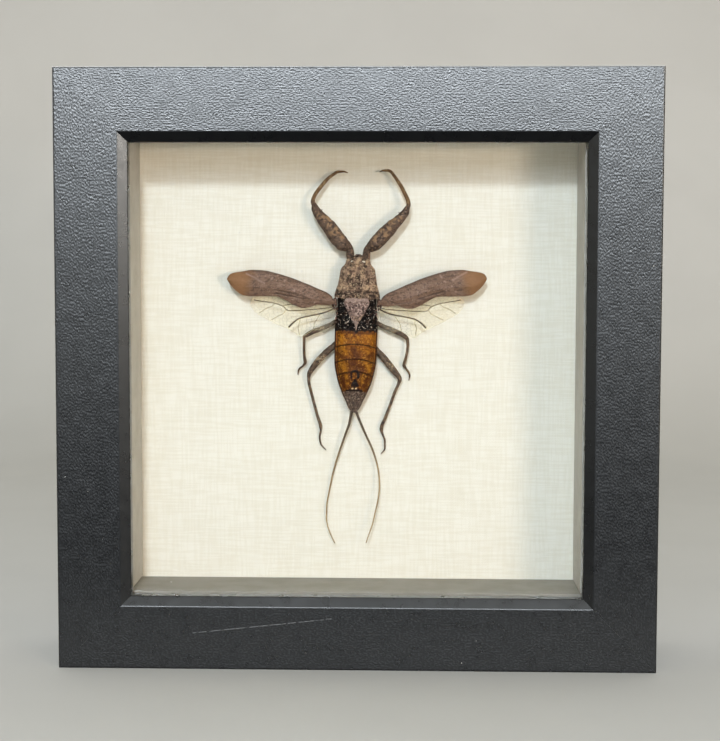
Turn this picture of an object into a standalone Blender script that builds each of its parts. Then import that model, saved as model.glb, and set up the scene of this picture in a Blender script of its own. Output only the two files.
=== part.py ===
"""A water scorpion with spread wings, fixed to linen paper in a square black shadow-box frame.

The frame stands on its lower edge. Its front looks along -Y, +X is to the viewer's right and +Z is up.
The origin is under the middle of the whole object, on the surface that it stands on.
"""
import math

import bmesh
import bpy
import numpy as np
from mathutils import Matrix, Vector

MM = 0.001
GAP = 0.3 * MM  # air left between two pieces that touch

# Moulding of the frame, seen in section
FRAME_SIDE = 152.4 * MM
RAIL_DEPTH = 34.0 * MM
FACE_WIDTH = 16.1 * MM
CHAMFER_WIDTH = 2.6 * MM
CHAMFER_DROP = 1.2 * MM
LIP_DEPTH = 4.0 * MM
RABBET_WIDTH = 5.2 * MM
ARRIS_RADIUS = 0.5 * MM
HALF_SIDE = FRAME_SIDE / 2
SIGHT_HALF = HALF_SIDE - FACE_WIDTH - CHAMFER_WIDTH
RABBET_HALF = SIGHT_HALF + RABBET_WIDTH

# What lies in the rabbet, from the glass to the backing board
FIT_CLEARANCE = 0.4 * MM
PANE_HALF = RABBET_HALF - FIT_CLEARANCE
GLASS_THICKNESS = 2.0 * MM
WALL_FACES = {"top": 59.3 * MM, "bottom": 57.3 * MM, "left": 58.4 * MM, "right": 57.4 * MM}  # from the middle
PAPER_DEPTH = 25.5 * MM  # from the front of the frame to the face of the paper
PAPER_THICKNESS = 0.6 * MM
BOARD_THICKNESS = 3.0 * MM

# Steel tabs that hold the board in
TAB_LENGTH = 14.0 * MM
TAB_WIDTH = 9.0 * MM
TAB_THICKNESS = 0.5 * MM
TAB_GRIP = 5.0 * MM  # how far a tab is driven into its rail

# Sawtooth hanger and its nails, on the back of the top rail
HANGER_LENGTH = 42.0 * MM
HANGER_HEIGHT = 8.0 * MM
HANGER_THICKNESS = 0.7 * MM
HANGER_RISE = 1.2 * MM
HANGER_FLAT_END = 6.0 * MM
HANGER_RAMP = 2.0 * MM
TOOTH_PITCH = 2.0 * MM
TOOTH_DEPTH = 1.4 * MM
TOOTH_COUNT = 12
NAIL_SHANK_RADIUS = 0.6 * MM
NAIL_HEAD_RADIUS = 1.5 * MM
NAIL_HEAD_HEIGHT = 0.5 * MM
NAIL_LENGTH = 9.0 * MM
NAIL_SIDES = 12

# Depths, measured along +Y
HANGER_PROUD = GAP + HANGER_RISE + HANGER_THICKNESS
FRONT_Y = -(RAIL_DEPTH + HANGER_PROUD) / 2
BACK_Y = FRONT_Y + RAIL_DEPTH
GLASS_Y = FRONT_Y + LIP_DEPTH + GAP
WALL_Y = GLASS_Y + GLASS_THICKNESS + GAP
PAPER_Y = FRONT_Y + PAPER_DEPTH
BOARD_Y = PAPER_Y + PAPER_THICKNESS + GAP
TAB_Y = BOARD_Y + BOARD_THICKNESS + GAP

# The specimen's own axes: right, away from the paper, and towards its head
SPECIMEN_X = -0.5 * MM
SPECIMEN_Z = HALF_SIDE + 18.0 * MM  # front edge of the scutellum
SPECIMEN_LEAN = math.radians(1.6)

# Body, in mm along its length from the front edge of the scutellum
HEAD_TIP = 11.7
TAIL_TIP = -30.2
HALF_WIDTHS = ((-30.2, 0.6), (-29.6, 1.15), (-28.3, 1.85), (-27.0, 2.4), (-25.7, 3.05), (-24.4, 3.6),
               (-22.0, 4.5), (-19.8, 5.05), (-18.0, 5.4), (-16.0, 5.55), (-11.0, 5.6), (-8.4, 5.7),
               (-6.3, 5.6), (-4.3, 5.3), (-1.7, 5.1), (-0.2, 5.1), (0.0, 5.95), (0.5, 6.0), (2.1, 5.65),
               (3.7, 5.15), (6.8, 4.65), (7.9, 4.5), (8.5, 4.1), (8.8, 3.7), (9.05, 2.6), (9.1, 1.5),
               (9.8, 1.5), (10.6, 1.3), (11.4, 0.95), (11.7, 0.55))
TOP_HEIGHTS = ((-30.2, 3.5), (-24.6, 4.8), (-19.0, 5.4), (-12.0, 5.7), (-8.0, 5.6), (-5.0, 5.9),
               (-0.2, 6.1), (0.0, 6.5), (2.0, 6.7), (6.0, 6.4), (9.05, 5.9), (9.1, 5.4), (10.4, 5.2),
               (11.7, 4.4))
EDGE_HEIGHTS = ((-30.2, 3.1), (-24.0, 3.8), (-8.0, 4.2), (2.0, 4.4), (9.0, 4.5), (9.1, 4.4), (11.7, 4.2))
BELLY_HEIGHTS = ((-30.2, 2.7), (-24.0, 2.6), (-10.0, 1.9), (-3.0, 1.5), (4.0, 1.9), (9.0, 3.2),
                 (9.1, 3.7), (11.7, 4.0))
SEGMENT_EDGES = (-11.9, -15.9, -19.4, -24.4)
SEGMENT_STEP = 0.15
SEGMENT_BOW = 1.0  # how far a segment's hind edge curves back at the sides
RIM_WIDTH = 1.0
RIM_DROP = 0.18
SCUTELLUM = ((-8.2, 0.15), (-6.9, 0.5), (-5.6, 1.15), (-4.3, 2.1), (-3.0, 2.8), (-1.1, 3.5), (-0.1, 3.1))
SCUTELLUM_RISE = 0.4
PRONOTUM_KEEL = 1.5  # half-width of the raised middle of the pronotum
KEEL_RISE = 0.25
EYE_RADIUS = 0.72
EYE_PLACE = (1.5, 9.95, 4.95)  # to the side, along the body, above the paper

# Wings, in mm: distance out from the body's axis, front edge, hind edge
FOREWING = ((5.5, -0.4, -1.6), (6.3, -0.3, -1.7), (6.6, 0.65, -1.8), (8.0, 1.5, -1.9), (10.3, 2.5, -1.7),
            (12.7, 3.6, -2.4), (14.2, 4.2, -2.55), (16.5, 5.15, -1.8), (19.0, 6.0, -0.4),
            (21.5, 6.75, 0.6), (24.5, 7.4, 0.6), (27.7, 7.55, 0.6), (30.0, 7.2, 0.9), (31.8, 6.95, 2.1),
            (33.1, 6.6, 3.4), (33.9, 5.9, 4.6), (34.1, 5.4, 5.0))
HINDWING = ((5.8, -2.4, -4.4), (6.3, -2.2, -6.4), (7.3, -1.8, -8.2), (8.8, -1.4, -9.3),
            (10.0, -1.2, -8.6), (11.2, -1.3, -8.4), (12.5, -1.6, -9.0), (13.8, -1.7, -9.8),
            (15.0, -1.5, -10.3), (16.4, -0.9, -9.3), (18.2, -0.2, -8.2), (20.2, 0.3, -7.3),
            (22.2, 0.9, -6.35), (24.3, 0.9, -5.2), (26.3, 0.6, -4.1), (27.5, 0.2, -3.0),
            (28.2, -0.4, -1.9))
WING_HINGE = (6.0, -0.5)
WING_SWING = math.radians(2.2)  # the right wings are swung forward and the left ones back by this
FOREWING_HEIGHT = 5.0
HINDWING_HEIGHT = 4.0
FOREWING_HALF_THICKNESS = 0.22
HINDWING_HALF_THICKNESS = 0.12
FOREWING_CAMBER = 0.6
HINDWING_CAMBER = 0.25

# Legs and siphons, in mm: distance out, place along the body, height above the paper, half-width
FORELEG_LEFT = ((2.2, 9.6, 3.3, 0.75), (2.2, 11.6, 3.6, 1.05), (2.35, 13.0, 4.0, 1.0),
                (3.1, 13.55, 4.5, 1.45), (3.9, 14.0, 4.8, 1.8), (5.1, 15.1, 4.8, 1.98),
                (7.5, 18.15, 4.8, 1.88), (8.9, 19.7, 4.9, 1.7), (10.1, 21.1, 5.0, 1.43),
                (11.1, 22.3, 4.9, 1.2), (11.7, 23.4, 4.8, 1.0), (12.0, 24.2, 4.6, 0.7),
                (12.4, 25.1, 4.3, 0.55), (12.1, 26.3, 4.0, 0.52), (11.3, 27.8, 3.6, 0.52),
                (10.0, 29.6, 3.2, 0.5), (8.5, 31.4, 2.9, 0.45), (7.2, 32.4, 2.8, 0.4),
                (6.0, 33.1, 2.8, 0.36), (4.6, 33.2, 2.7, 0.26), (3.4, 32.9, 2.5, 0.1))
FORELEG_RIGHT = ((2.1, 9.6, 3.3, 0.75), (2.1, 11.4, 3.6, 1.05), (2.3, 12.9, 4.0, 0.95),
                 (3.2, 13.6, 4.5, 1.4), (4.2, 14.4, 4.8, 1.8), (5.5, 15.8, 4.8, 1.9),
                 (7.1, 17.6, 4.8, 1.87), (8.6, 19.2, 4.9, 1.67), (9.9, 20.5, 5.0, 1.4),
                 (11.2, 21.9, 4.9, 1.15), (12.05, 23.1, 4.8, 1.0), (12.4, 24.0, 4.7, 0.7),
                 (12.75, 24.9, 4.6, 0.55), (12.6, 25.9, 4.5, 0.54), (11.9, 27.4, 4.3, 0.52),
                 (10.8, 29.5, 3.9, 0.5), (9.8, 31.0, 3.6, 0.46), (8.7, 32.5, 3.3, 0.42),
                 (7.8, 33.5, 3.1, 0.4), (7.1, 33.8, 3.0, 0.38), (5.8, 33.75, 2.9, 0.28),
                 (4.9, 33.4, 2.8, 0.1))
MIDLEG_LEFT = ((5.2, -6.0, 2.3, 0.5), (7.0, -7.2, 2.5, 0.6), (9.1, -8.2, 2.6, 0.65),
               (11.5, -9.2, 2.6, 0.65), (13.1, -10.1, 2.6, 0.58), (13.8, -10.7, 2.4, 0.42),
               (13.8, -12.9, 2.2, 0.34), (13.7, -15.5, 1.8, 0.36), (13.4, -17.5, 1.5, 0.46),
               (13.9, -18.3, 1.3, 0.26), (15.1, -19.6, 1.1, 0.24), (15.3, -20.9, 0.9, 0.1))
MIDLEG_RIGHT = ((5.2, -6.1, 2.3, 0.5), (7.0, -7.2, 2.5, 0.6), (8.4, -7.7, 2.6, 0.65),
                (10.8, -8.6, 2.6, 0.68), (12.8, -9.6, 2.6, 0.6), (13.6, -10.5, 2.4, 0.45),
                (13.75, -12.0, 2.2, 0.36), (13.4, -15.0, 1.8, 0.36), (12.9, -17.4, 1.5, 0.44),
                (13.5, -18.3, 1.3, 0.28), (14.5, -20.0, 1.1, 0.24), (14.3, -21.5, 0.9, 0.1))
HINDLEG_LEFT = ((4.9, -11.6, 1.9, 0.7), (6.0, -12.9, 2.0, 0.78), (7.4, -14.2, 2.1, 0.85),
                (9.5, -16.4, 2.2, 0.88), (11.3, -18.8, 2.2, 0.75), (12.25, -20.7, 2.1, 0.55),
                (12.35, -21.9, 1.9, 0.4), (11.7, -24.8, 1.7, 0.38), (10.8, -28.0, 1.5, 0.38),
                (9.8, -31.5, 1.3, 0.4), (8.8, -34.6, 1.2, 0.46), (8.75, -35.5, 1.0, 0.28),
                (9.0, -37.2, 0.9, 0.26), (8.7, -39.0, 0.9, 0.22), (7.2, -40.8, 0.8, 0.1))
HINDLEG_RIGHT = ((4.7, -12.6, 1.9, 0.7), (5.9, -14.0, 2.0, 0.8), (7.3, -15.4, 2.1, 0.88),
                 (9.2, -17.6, 2.2, 0.9), (10.8, -19.5, 2.2, 0.78), (11.9, -21.2, 2.1, 0.55),
                 (11.6, -22.3, 1.9, 0.4), (10.7, -24.6, 1.7, 0.38), (9.8, -27.4, 1.5, 0.38),
                 (8.5, -31.2, 1.3, 0.4), (7.4, -34.7, 1.2, 0.46), (7.7, -35.8, 1.0, 0.28),
                 (8.4, -37.7, 0.9, 0.26), (8.5, -39.8, 0.9, 0.22), (7.5, -41.4, 0.8, 0.1))
SIPHON_LEFT = ((0.62, -30.7, 2.8, 0.38), (1.1, -33.2, 2.6, 0.32), (2.0, -36.0, 2.3, 0.28),
               (3.5, -40.7, 1.7, 0.25), (4.7, -45.0, 1.3, 0.22), (5.6, -49.3, 1.1, 0.2),
               (6.2, -53.0, 1.0, 0.18), (6.6, -56.0, 0.9, 0.17), (6.6, -58.8, 0.9, 0.16),
               (6.2, -61.2, 0.8, 0.16), (5.2, -63.8, 0.8, 0.15), (4.1, -65.9, 0.8, 0.13))
SIPHON_RIGHT = ((0.6, -30.7, 2.8, 0.33), (1.8, -32.9, 2.6, 0.3), (3.4, -36.3, 2.4, 0.27),
                (5.1, -39.8, 2.2, 0.25), (6.3, -43.1, 2.1, 0.22), (7.1, -46.5, 2.2, 0.2),
                (7.4, -50.0, 2.4, 0.19), (7.1, -53.6, 2.8, 0.18), (6.5, -56.7, 3.2, 0.17),
                (6.0, -59.4, 3.5, 0.16), (5.2, -62.1, 3.8, 0.15), (4.3, -65.0, 4.0, 0.13))
FORELEG_FLATNESS = 0.62  # depth of a foreleg's section as a share of its width
FORELEG_SIDES = 10
TUBE_RESOLUTION = 2
GLUE_RADIUS = 3.2
GLUE_PLACE = -3.0

PARTS = "framed_water_scorpion"
CUTTERS = "cutters"
LEFT = -1
RIGHT = 1


# Scene and materials

def clear_scene():
    """Remove every object of the scene the script is run in."""
    for old in list(bpy.data.objects):
        bpy.data.objects.remove(old, do_unlink=True)


def add_collection(name):
    collection = bpy.data.collections.new(name)
    bpy.context.scene.collection.children.link(collection)
    return collection


def add_object(name, data, collection=PARTS, material=None, parent=None,
               location=(0, 0, 0), rotation=(0, 0, 0)):
    obj = bpy.data.objects.new(name, data)
    bpy.data.collections[collection].objects.link(obj)
    if material:
        data.materials.append(material)
    obj.parent = parent
    obj.location = location
    obj.rotation_euler = rotation
    return obj


def make_material(name, colour, roughness, metallic=0.0):
    material = bpy.data.materials.new(name)
    material.use_nodes = True
    shader = material.node_tree.nodes["Principled BSDF"]
    shader.inputs["Base Color"].default_value = (*colour, 1.0)
    shader.inputs["Roughness"].default_value = roughness
    shader.inputs["Metallic"].default_value = metallic
    material.diffuse_color = (*colour, 1.0)
    return material


# Ways of making a shape

def box_mesh(name, size):
    mesh = bpy.data.meshes.new(name)
    bm = bmesh.new()
    bmesh.ops.create_cube(bm, size=1.0, matrix=Matrix.Diagonal((*size, 1.0)))
    bm.to_mesh(mesh)
    bm.free()
    return mesh


def outline_mesh(name, points, half_length, rotation):
    """Extrude a flat closed outline both ways and turn it by the given Euler angles."""
    curve = bpy.data.curves.new(name, "CURVE")
    curve.dimensions = "2D"
    curve.fill_mode = "BOTH"
    curve.extrude = half_length
    spline = curve.splines.new("POLY")
    spline.points.add(len(points) - 1)
    for point, (x, y) in zip(spline.points, points):
        point.co = (x, y, 0, 1)
    spline.use_cyclic_u = True
    blank = add_object(name + "_outline", curve, CUTTERS, rotation=rotation)
    bpy.context.view_layer.update()
    mesh = bpy.data.meshes.new_from_object(blank.evaluated_get(bpy.context.evaluated_depsgraph_get()))
    mesh.transform(blank.matrix_world)
    mesh.name = name
    bm = bmesh.new()
    bm.from_mesh(mesh)
    bmesh.ops.remove_doubles(bm, verts=bm.verts, dist=0.001 * MM)
    bmesh.ops.recalc_face_normals(bm, faces=bm.faces)
    bm.to_mesh(mesh)
    bm.free()
    bpy.data.objects.remove(blank)
    return mesh


def loft_mesh(name, rings):
    """Join rings of one even point count into a closed skin, its flat ends filled by strips across."""
    mesh = bpy.data.meshes.new(name)
    bm = bmesh.new()
    rows = [[bm.verts.new(Vector(point) * MM) for point in ring] for ring in rings]
    for near, far in zip(rows, rows[1:]):
        for index in range(len(near)):
            after = (index + 1) % len(near)
            bm.faces.new((near[index], near[after], far[after], far[index]))
    for end in (rows[0], rows[-1]):
        for index in range(len(end) // 2 - 1):
            bm.faces.new((end[index], end[index + 1], end[-2 - index], end[-1 - index]))
    bmesh.ops.triangulate(bm, faces=bm.faces)
    bmesh.ops.recalc_face_normals(bm, faces=bm.faces)
    bm.to_mesh(mesh)
    bm.free()
    mesh.shade_smooth()
    mesh.set_sharp_from_angle(angle=math.radians(50))
    return mesh


def cut(target, cutter):
    """Take a cutter's shape out of a part."""
    cutter.hide_render = True
    cutter.display_type = "WIRE"
    modifier = target.modifiers.new("cut_" + cutter.name, "BOOLEAN")
    modifier.operation = "DIFFERENCE"
    modifier.object = cutter


def join(target, piece):
    """Grow a piece of the same body into a part."""
    piece.hide_render = True
    piece.display_type = "WIRE"
    modifier = target.modifiers.new("join_" + piece.name, "BOOLEAN")
    modifier.operation = "UNION"
    modifier.object = piece


# Frame

def rail_profile():
    """Section of the moulding: depth behind the front, and height over the middle of the frame."""
    arris = [(ARRIS_RADIUS * (1 - math.cos(turn)), ARRIS_RADIUS * (1 - math.sin(turn)))
             for turn in (0, math.pi / 6, math.pi / 3, math.pi / 2)]
    front_corner = [(depth, -HALF_SIDE + rise) for depth, rise in arris]
    back_corner = [(RAIL_DEPTH - depth, -HALF_SIDE + rise) for depth, rise in reversed(arris)]
    return front_corner + back_corner + [
        (RAIL_DEPTH, -RABBET_HALF),
        (LIP_DEPTH, -RABBET_HALF),
        (LIP_DEPTH, -SIGHT_HALF),
        (CHAMFER_DROP, -SIGHT_HALF),
        (0, -SIGHT_HALF - CHAMFER_WIDTH),
    ]


def rail_mesh():
    """The lower rail about the middle of the frame, with both ends mitred."""
    mesh = outline_mesh("rail", rail_profile(), HALF_SIDE, (math.pi / 2, 0, math.pi / 2))
    bm = bmesh.new()
    bm.from_mesh(mesh)
    mitre_start = (0, 0, -GAP * math.sqrt(0.5))
    for side in (LEFT, RIGHT):
        bmesh.ops.bisect_plane(bm, geom=bm.verts[:] + bm.edges[:] + bm.faces[:], dist=0.001 * MM,
                               plane_co=mitre_start, plane_no=(side, 0, 1), clear_outer=True)
        bmesh.ops.holes_fill(bm, edges=[edge for edge in bm.edges if edge.is_boundary])
    bmesh.ops.recalc_face_normals(bm, faces=bm.faces)
    bm.to_mesh(mesh)
    bm.free()
    return mesh


def add_rails(material, centre):
    """Four equal rails, each with the slot that its tab is driven into."""
    mesh = rail_mesh()
    slot_size = (TAB_WIDTH + 2 * GAP, TAB_THICKNESS + 2 * GAP, TAB_GRIP + 2 * GAP)
    slot_place = (0, TAB_Y + TAB_THICKNESS / 2 - FRONT_Y, -RABBET_HALF - TAB_GRIP / 2)
    rails = {}
    for quarter, side in enumerate(("bottom", "left", "top", "right")):
        turn = (0, quarter * math.pi / 2, 0)
        rail = add_object("rail_" + side, mesh.copy(), material=material, parent=centre, rotation=turn)
        slot = box_mesh("tab_slot_" + side, slot_size)
        slot.transform(Matrix.Translation(slot_place))
        cut(rail, add_object(slot.name, slot, CUTTERS, parent=centre, rotation=turn))
        rails[side] = rail
    return rails


def add_pane(name, thickness, front_y, material):
    """A square sheet that fills the rabbet."""
    mesh = box_mesh(name, (2 * PANE_HALF, thickness, 2 * PANE_HALF))
    add_object(name, mesh, material=material, location=(0, front_y + thickness / 2, HALF_SIDE))


def add_walls(material):
    """Strips that hold the paper away from the glass: two across, and two upright between them."""
    depth = PAPER_Y - GAP - WALL_Y
    top, bottom = WALL_FACES["top"] - GAP, GAP - WALL_FACES["bottom"]
    for side, (out_x, out_z) in {"top": (0, 1), "bottom": (0, -1), "left": (-1, 0), "right": (1, 0)}.items():
        thickness = PANE_HALF - WALL_FACES[side]
        middle = PANE_HALF - thickness / 2
        if out_z:
            size, place = (2 * PANE_HALF, depth, thickness), (0, out_z * middle)
        else:
            size, place = (thickness, depth, top - bottom), (out_x * middle, (top + bottom) / 2)
        add_object("wall_" + side, box_mesh("wall_" + side, size), material=material,
                   location=(place[0], WALL_Y + depth / 2, HALF_SIDE + place[1]))


def add_tabs(material, centre):
    """Flat steel points, driven into the rails behind the board."""
    point = TAB_WIDTH * 0.3
    half = TAB_WIDTH / 2
    outline = [(-half, 0), (half, 0), (half, TAB_LENGTH - point), (half - point, TAB_LENGTH),
               (point - half, TAB_LENGTH), (-half, TAB_LENGTH - point)]
    mesh = outline_mesh("tab", outline, TAB_THICKNESS / 2, (math.pi / 2, 0, 0))
    mesh.transform(Matrix.Translation((0, TAB_Y + TAB_THICKNESS / 2 - FRONT_Y, -RABBET_HALF - TAB_GRIP)))
    for quarter, side in enumerate(("bottom", "left", "top", "right")):
        add_object("tab_" + side, mesh.copy(), material=material, parent=centre,
                   rotation=(0, quarter * math.pi / 2, 0))


def hanger_mesh():
    """A strip whose ends lie on the rail and whose middle stands off it."""
    end = HANGER_LENGTH / 2
    foot = end - HANGER_FLAT_END
    top = foot - HANGER_RAMP
    near = [(-end, 0), (-foot, 0), (-top, HANGER_RISE), (top, HANGER_RISE), (foot, 0), (end, 0)]
    far = [(x, y + HANGER_THICKNESS) for x, y in reversed(near)]
    return outline_mesh("sawtooth_hanger", near + far, HANGER_HEIGHT / 2, (0, 0, 0))


def teeth_outline():
    """Notches along the hanger's lower edge."""
    start = -TOOTH_COUNT * TOOTH_PITCH / 2
    root = -HANGER_HEIGHT / 2
    below = root - TOOTH_DEPTH
    points = [(start, below)]
    for tooth in range(TOOTH_COUNT):
        x = start + tooth * TOOTH_PITCH
        points += [(x, root - 0.2 * TOOTH_DEPTH), (x + TOOTH_PITCH / 2, root + TOOTH_DEPTH)]
    return points + [(-start, root - 0.2 * TOOTH_DEPTH), (-start, below)]


def nail_hole(name, length, location, parent=None):
    """A cutter along Y, wider than a nail's shank by the usual gap."""
    mesh = bpy.data.meshes.new(name)
    bm = bmesh.new()
    radius = NAIL_SHANK_RADIUS + GAP
    bmesh.ops.create_cone(bm, cap_ends=True, segments=NAIL_SIDES, radius1=radius, radius2=radius,
                          depth=length, matrix=Matrix.Rotation(math.pi / 2, 4, "X"))
    bm.to_mesh(mesh)
    bm.free()
    return add_object(name, mesh, CUTTERS, parent=parent, location=location)


def add_nail(name, material, x, z):
    """A round-headed pin: its profile turned about the shank's axis."""
    head = Vector((NAIL_HEAD_RADIUS, 0, NAIL_HEAD_HEIGHT))
    taper_start = 2 * NAIL_SHANK_RADIUS - NAIL_LENGTH
    profile = [(0, head.z), (0.6 * head.x, 0.8 * head.z), (head.x, 0.2 * head.z), (head.x, 0),
               (NAIL_SHANK_RADIUS, 0), (NAIL_SHANK_RADIUS, taper_start), (0, -NAIL_LENGTH)]
    mesh = bpy.data.meshes.new(name)
    mesh.from_pydata([(radius, 0, height) for radius, height in profile],
                     [(index, index + 1) for index in range(len(profile) - 1)], [])
    nail = add_object(name, mesh, material=material, rotation=(-math.pi / 2, 0, 0),
                      location=(x, BACK_Y + 2 * GAP + HANGER_THICKNESS, z))
    turn = nail.modifiers.new("turn", "SCREW")
    turn.steps = NAIL_SIDES
    turn.render_steps = NAIL_SIDES
    turn.use_merge_vertices = True
    turn.merge_threshold = 0.00001


def add_hanger(steel, brass, rail):
    """The sawtooth strip, centred on the back of the top rail, and the two nails that hold it."""
    z = FRAME_SIDE - (HALF_SIDE - RABBET_HALF) / 2
    strip = add_object("sawtooth_hanger", hanger_mesh(), material=steel, location=(0, BACK_Y + GAP, z))
    teeth = outline_mesh("hanger_teeth", teeth_outline(), 2 * HANGER_PROUD, (math.pi / 2, 0, 0))
    cut(strip, add_object("hanger_teeth", teeth, CUTTERS, location=(0, BACK_Y, z)))
    for side, x in (("left", -1), ("right", 1)):
        x *= (HANGER_LENGTH - HANGER_FLAT_END) / 2
        reach = NAIL_LENGTH + 2 * GAP
        cut(strip, nail_hole("strip_hole_" + side, 4 * HANGER_PROUD, (x, BACK_Y, z)))
        cut(rail, nail_hole("rail_hole_" + side, 2 * reach, (x, BACK_Y, z)))
        add_nail("hanger_nail_" + side, brass, x, z)


# Specimen

def along(profile, place):
    """Read a profile of (place, value) points at a place along the body."""
    places, values = zip(*profile)
    return float(np.interp(place, places, values))


def shoulder(place):
    """Half-width and rise of the raised middle of the back at a place along the body."""
    if place < SCUTELLUM[0][0]:
        return max(along(HALF_WIDTHS, place) - RIM_WIDTH, 0.2), RIM_DROP
    if place < 0:
        return along(SCUTELLUM, place), SCUTELLUM_RISE
    ridge = min(PRONOTUM_KEEL, 0.4 * along(HALF_WIDTHS, place))
    return ridge, KEEL_RISE * min(place, HEAD_TIP - place) / HEAD_TIP


def body_ring(place, lift):
    """One section of the body: the back from left to right, then the belly from right to left."""
    bow = SEGMENT_BOW * float(np.interp(place, (TAIL_TIP, -24.4, -19.4, -8.2), (0, 0.4, 1, 0)))
    ridge, rise = shoulder(place)
    half = along(HALF_WIDTHS, place)
    flank = min(ridge + 0.15, 0.9 * half)
    slope = (flank + half) / 2
    outs = (0, 0.55 * ridge, min(ridge, 0.85 * half), flank, slope, (slope + half) / 2)
    edge = along(EDGE_HEIGHTS, place)
    top = along(TOP_HEIGHTS, place) - rise + lift
    belly = along(BELLY_HEIGHTS, place)

    def back_point(out, raised):
        share = out / half
        spot = place - bow * share ** 2
        height = edge + (top - edge) * (1 - share ** 2.6) + (rise if raised else 0)
        return share * along(HALF_WIDTHS, spot), -height, spot

    right_back = [back_point(out, index <= 2) for index, out in enumerate(outs)]
    rim = place - bow
    right_back.append((along(HALF_WIDTHS, rim), -edge, rim))
    right_belly = []
    for share in (0.85, 0.5):
        spot = place - bow * share ** 2
        height = belly + (edge - belly) * share ** 2.2
        right_belly.append((share * along(HALF_WIDTHS, spot), -height, spot))
    left_back = [(-x, y, z) for x, y, z in reversed(right_back[1:])]
    left_belly = [(-x, y, z) for x, y, z in reversed(right_belly)]
    return left_back + right_back + right_belly + [(0, -belly, place)] + left_belly


def body_stations():
    """Places of the sections, with the small lift that each abdomen segment has at its hind edge."""
    stations = {place: 0.0 for place, _ in HALF_WIDTHS}
    stations.update({place: 0.0 for place, _ in SCUTELLUM})
    for edge in SEGMENT_EDGES:
        stations[edge] = SEGMENT_STEP
        stations[edge - 0.2] = 0.0
    return sorted(stations.items())


def add_body(material, specimen):
    """Head, thorax and abdomen in one piece, with an eye on each side of the head."""
    rings = [body_ring(place, lift) for place, lift in body_stations()]
    body = add_object("body", loft_mesh("body", rings), material=material, parent=specimen)
    out, place, height = EYE_PLACE
    for side, label in ((LEFT, "left"), (RIGHT, "right")):
        eye = bpy.data.meshes.new("eye_" + label)
        bm = bmesh.new()
        bmesh.ops.create_icosphere(bm, subdivisions=2, radius=EYE_RADIUS * MM)
        bm.to_mesh(eye)
        bm.free()
        spot = Vector((side * out, -height, place)) * MM
        join(body, add_object(eye.name, eye, CUTTERS, parent=specimen, location=spot))


def wing_ring(station, side, height, half_thickness, camber):
    """A thin lens-shaped section across a wing."""
    out, front, hind = station
    chord = front - hind
    upper = []
    lower = []
    for share in (0.0, 0.06, 0.3, 0.6, 0.85, 1.0):
        place = front - share * chord
        lift = height + camber * math.sin(math.pi * share)
        edge = half_thickness * (0.35 if share in (0.0, 1.0) else 1.0)
        upper.append((side * out, -(lift + edge), place))
        lower.append((side * out, -(lift - edge), place))
    return upper + lower[::-1]


def add_wing(name, stations, side, height, half_thickness, camber, material, specimen):
    """A wing of one side, swung about its hinge."""
    rings = [wing_ring(station, side, height, half_thickness, camber) for station in stations]
    mesh = loft_mesh(name, rings)
    hinge = Vector((side * WING_HINGE[0], 0, WING_HINGE[1])) * MM
    mesh.transform(Matrix.Translation(-hinge))
    add_object(name, mesh, material=material, parent=specimen, location=hinge, rotation=(0, -WING_SWING, 0))


def limb_ring(stations, index, side):
    """An oval section square to a limb's path."""
    out, place, height, half = stations[index]
    before = Vector(stations[max(index - 1, 0)][:2])
    after = Vector(stations[min(index + 1, len(stations) - 1)][:2])
    heading = (after - before).normalized()
    ring = []
    for step in range(FORELEG_SIDES):
        turn = 2 * math.pi * step / FORELEG_SIDES
        across = half * math.cos(turn)
        thickness = max(half * FORELEG_FLATNESS, min(half, 0.3))
        ring.append((side * (out + across * heading.y), -(height + thickness * math.sin(turn)),
                     place - across * heading.x))
    return ring


def add_foreleg(name, stations, side, material, specimen):
    """Coxa, broad femur and slender hooked tibia of a grasping leg."""
    rings = [limb_ring(stations, index, side) for index in range(len(stations))]
    add_object(name, loft_mesh(name, rings), material=material, parent=specimen)


def add_tube(name, stations, side, material, specimen):
    """A round limb or siphon that tapers from point to point."""
    curve = bpy.data.curves.new(name, "CURVE")
    curve.dimensions = "3D"
    curve.bevel_depth = MM
    curve.bevel_resolution = TUBE_RESOLUTION
    curve.use_fill_caps = True
    spline = curve.splines.new("POLY")
    spline.points.add(len(stations) - 1)
    for point, (out, place, height, half) in zip(spline.points, stations):
        point.co = (side * out * MM, -height * MM, place * MM, 1)
        point.radius = half
    add_object(name, curve, material=material, parent=specimen)


def add_glue(material, specimen):
    """A flattened dab between the paper and the underside of the thorax."""
    room = along(BELLY_HEIGHTS, GLUE_PLACE) - 2 * GAP / MM
    mesh = bpy.data.meshes.new("glue_dab")
    bm = bmesh.new()
    bmesh.ops.create_uvsphere(bm, u_segments=16, v_segments=8, radius=MM)
    bm.to_mesh(mesh)
    bm.free()
    mesh.transform(Matrix.Diagonal((GLUE_RADIUS, room / 2, GLUE_RADIUS, 1)))
    mesh.shade_smooth()
    add_object("glue_dab", mesh, material=material, parent=specimen,
               location=(0, -(room / 2 * MM + GAP), GLUE_PLACE * MM))


# Everything together

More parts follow.
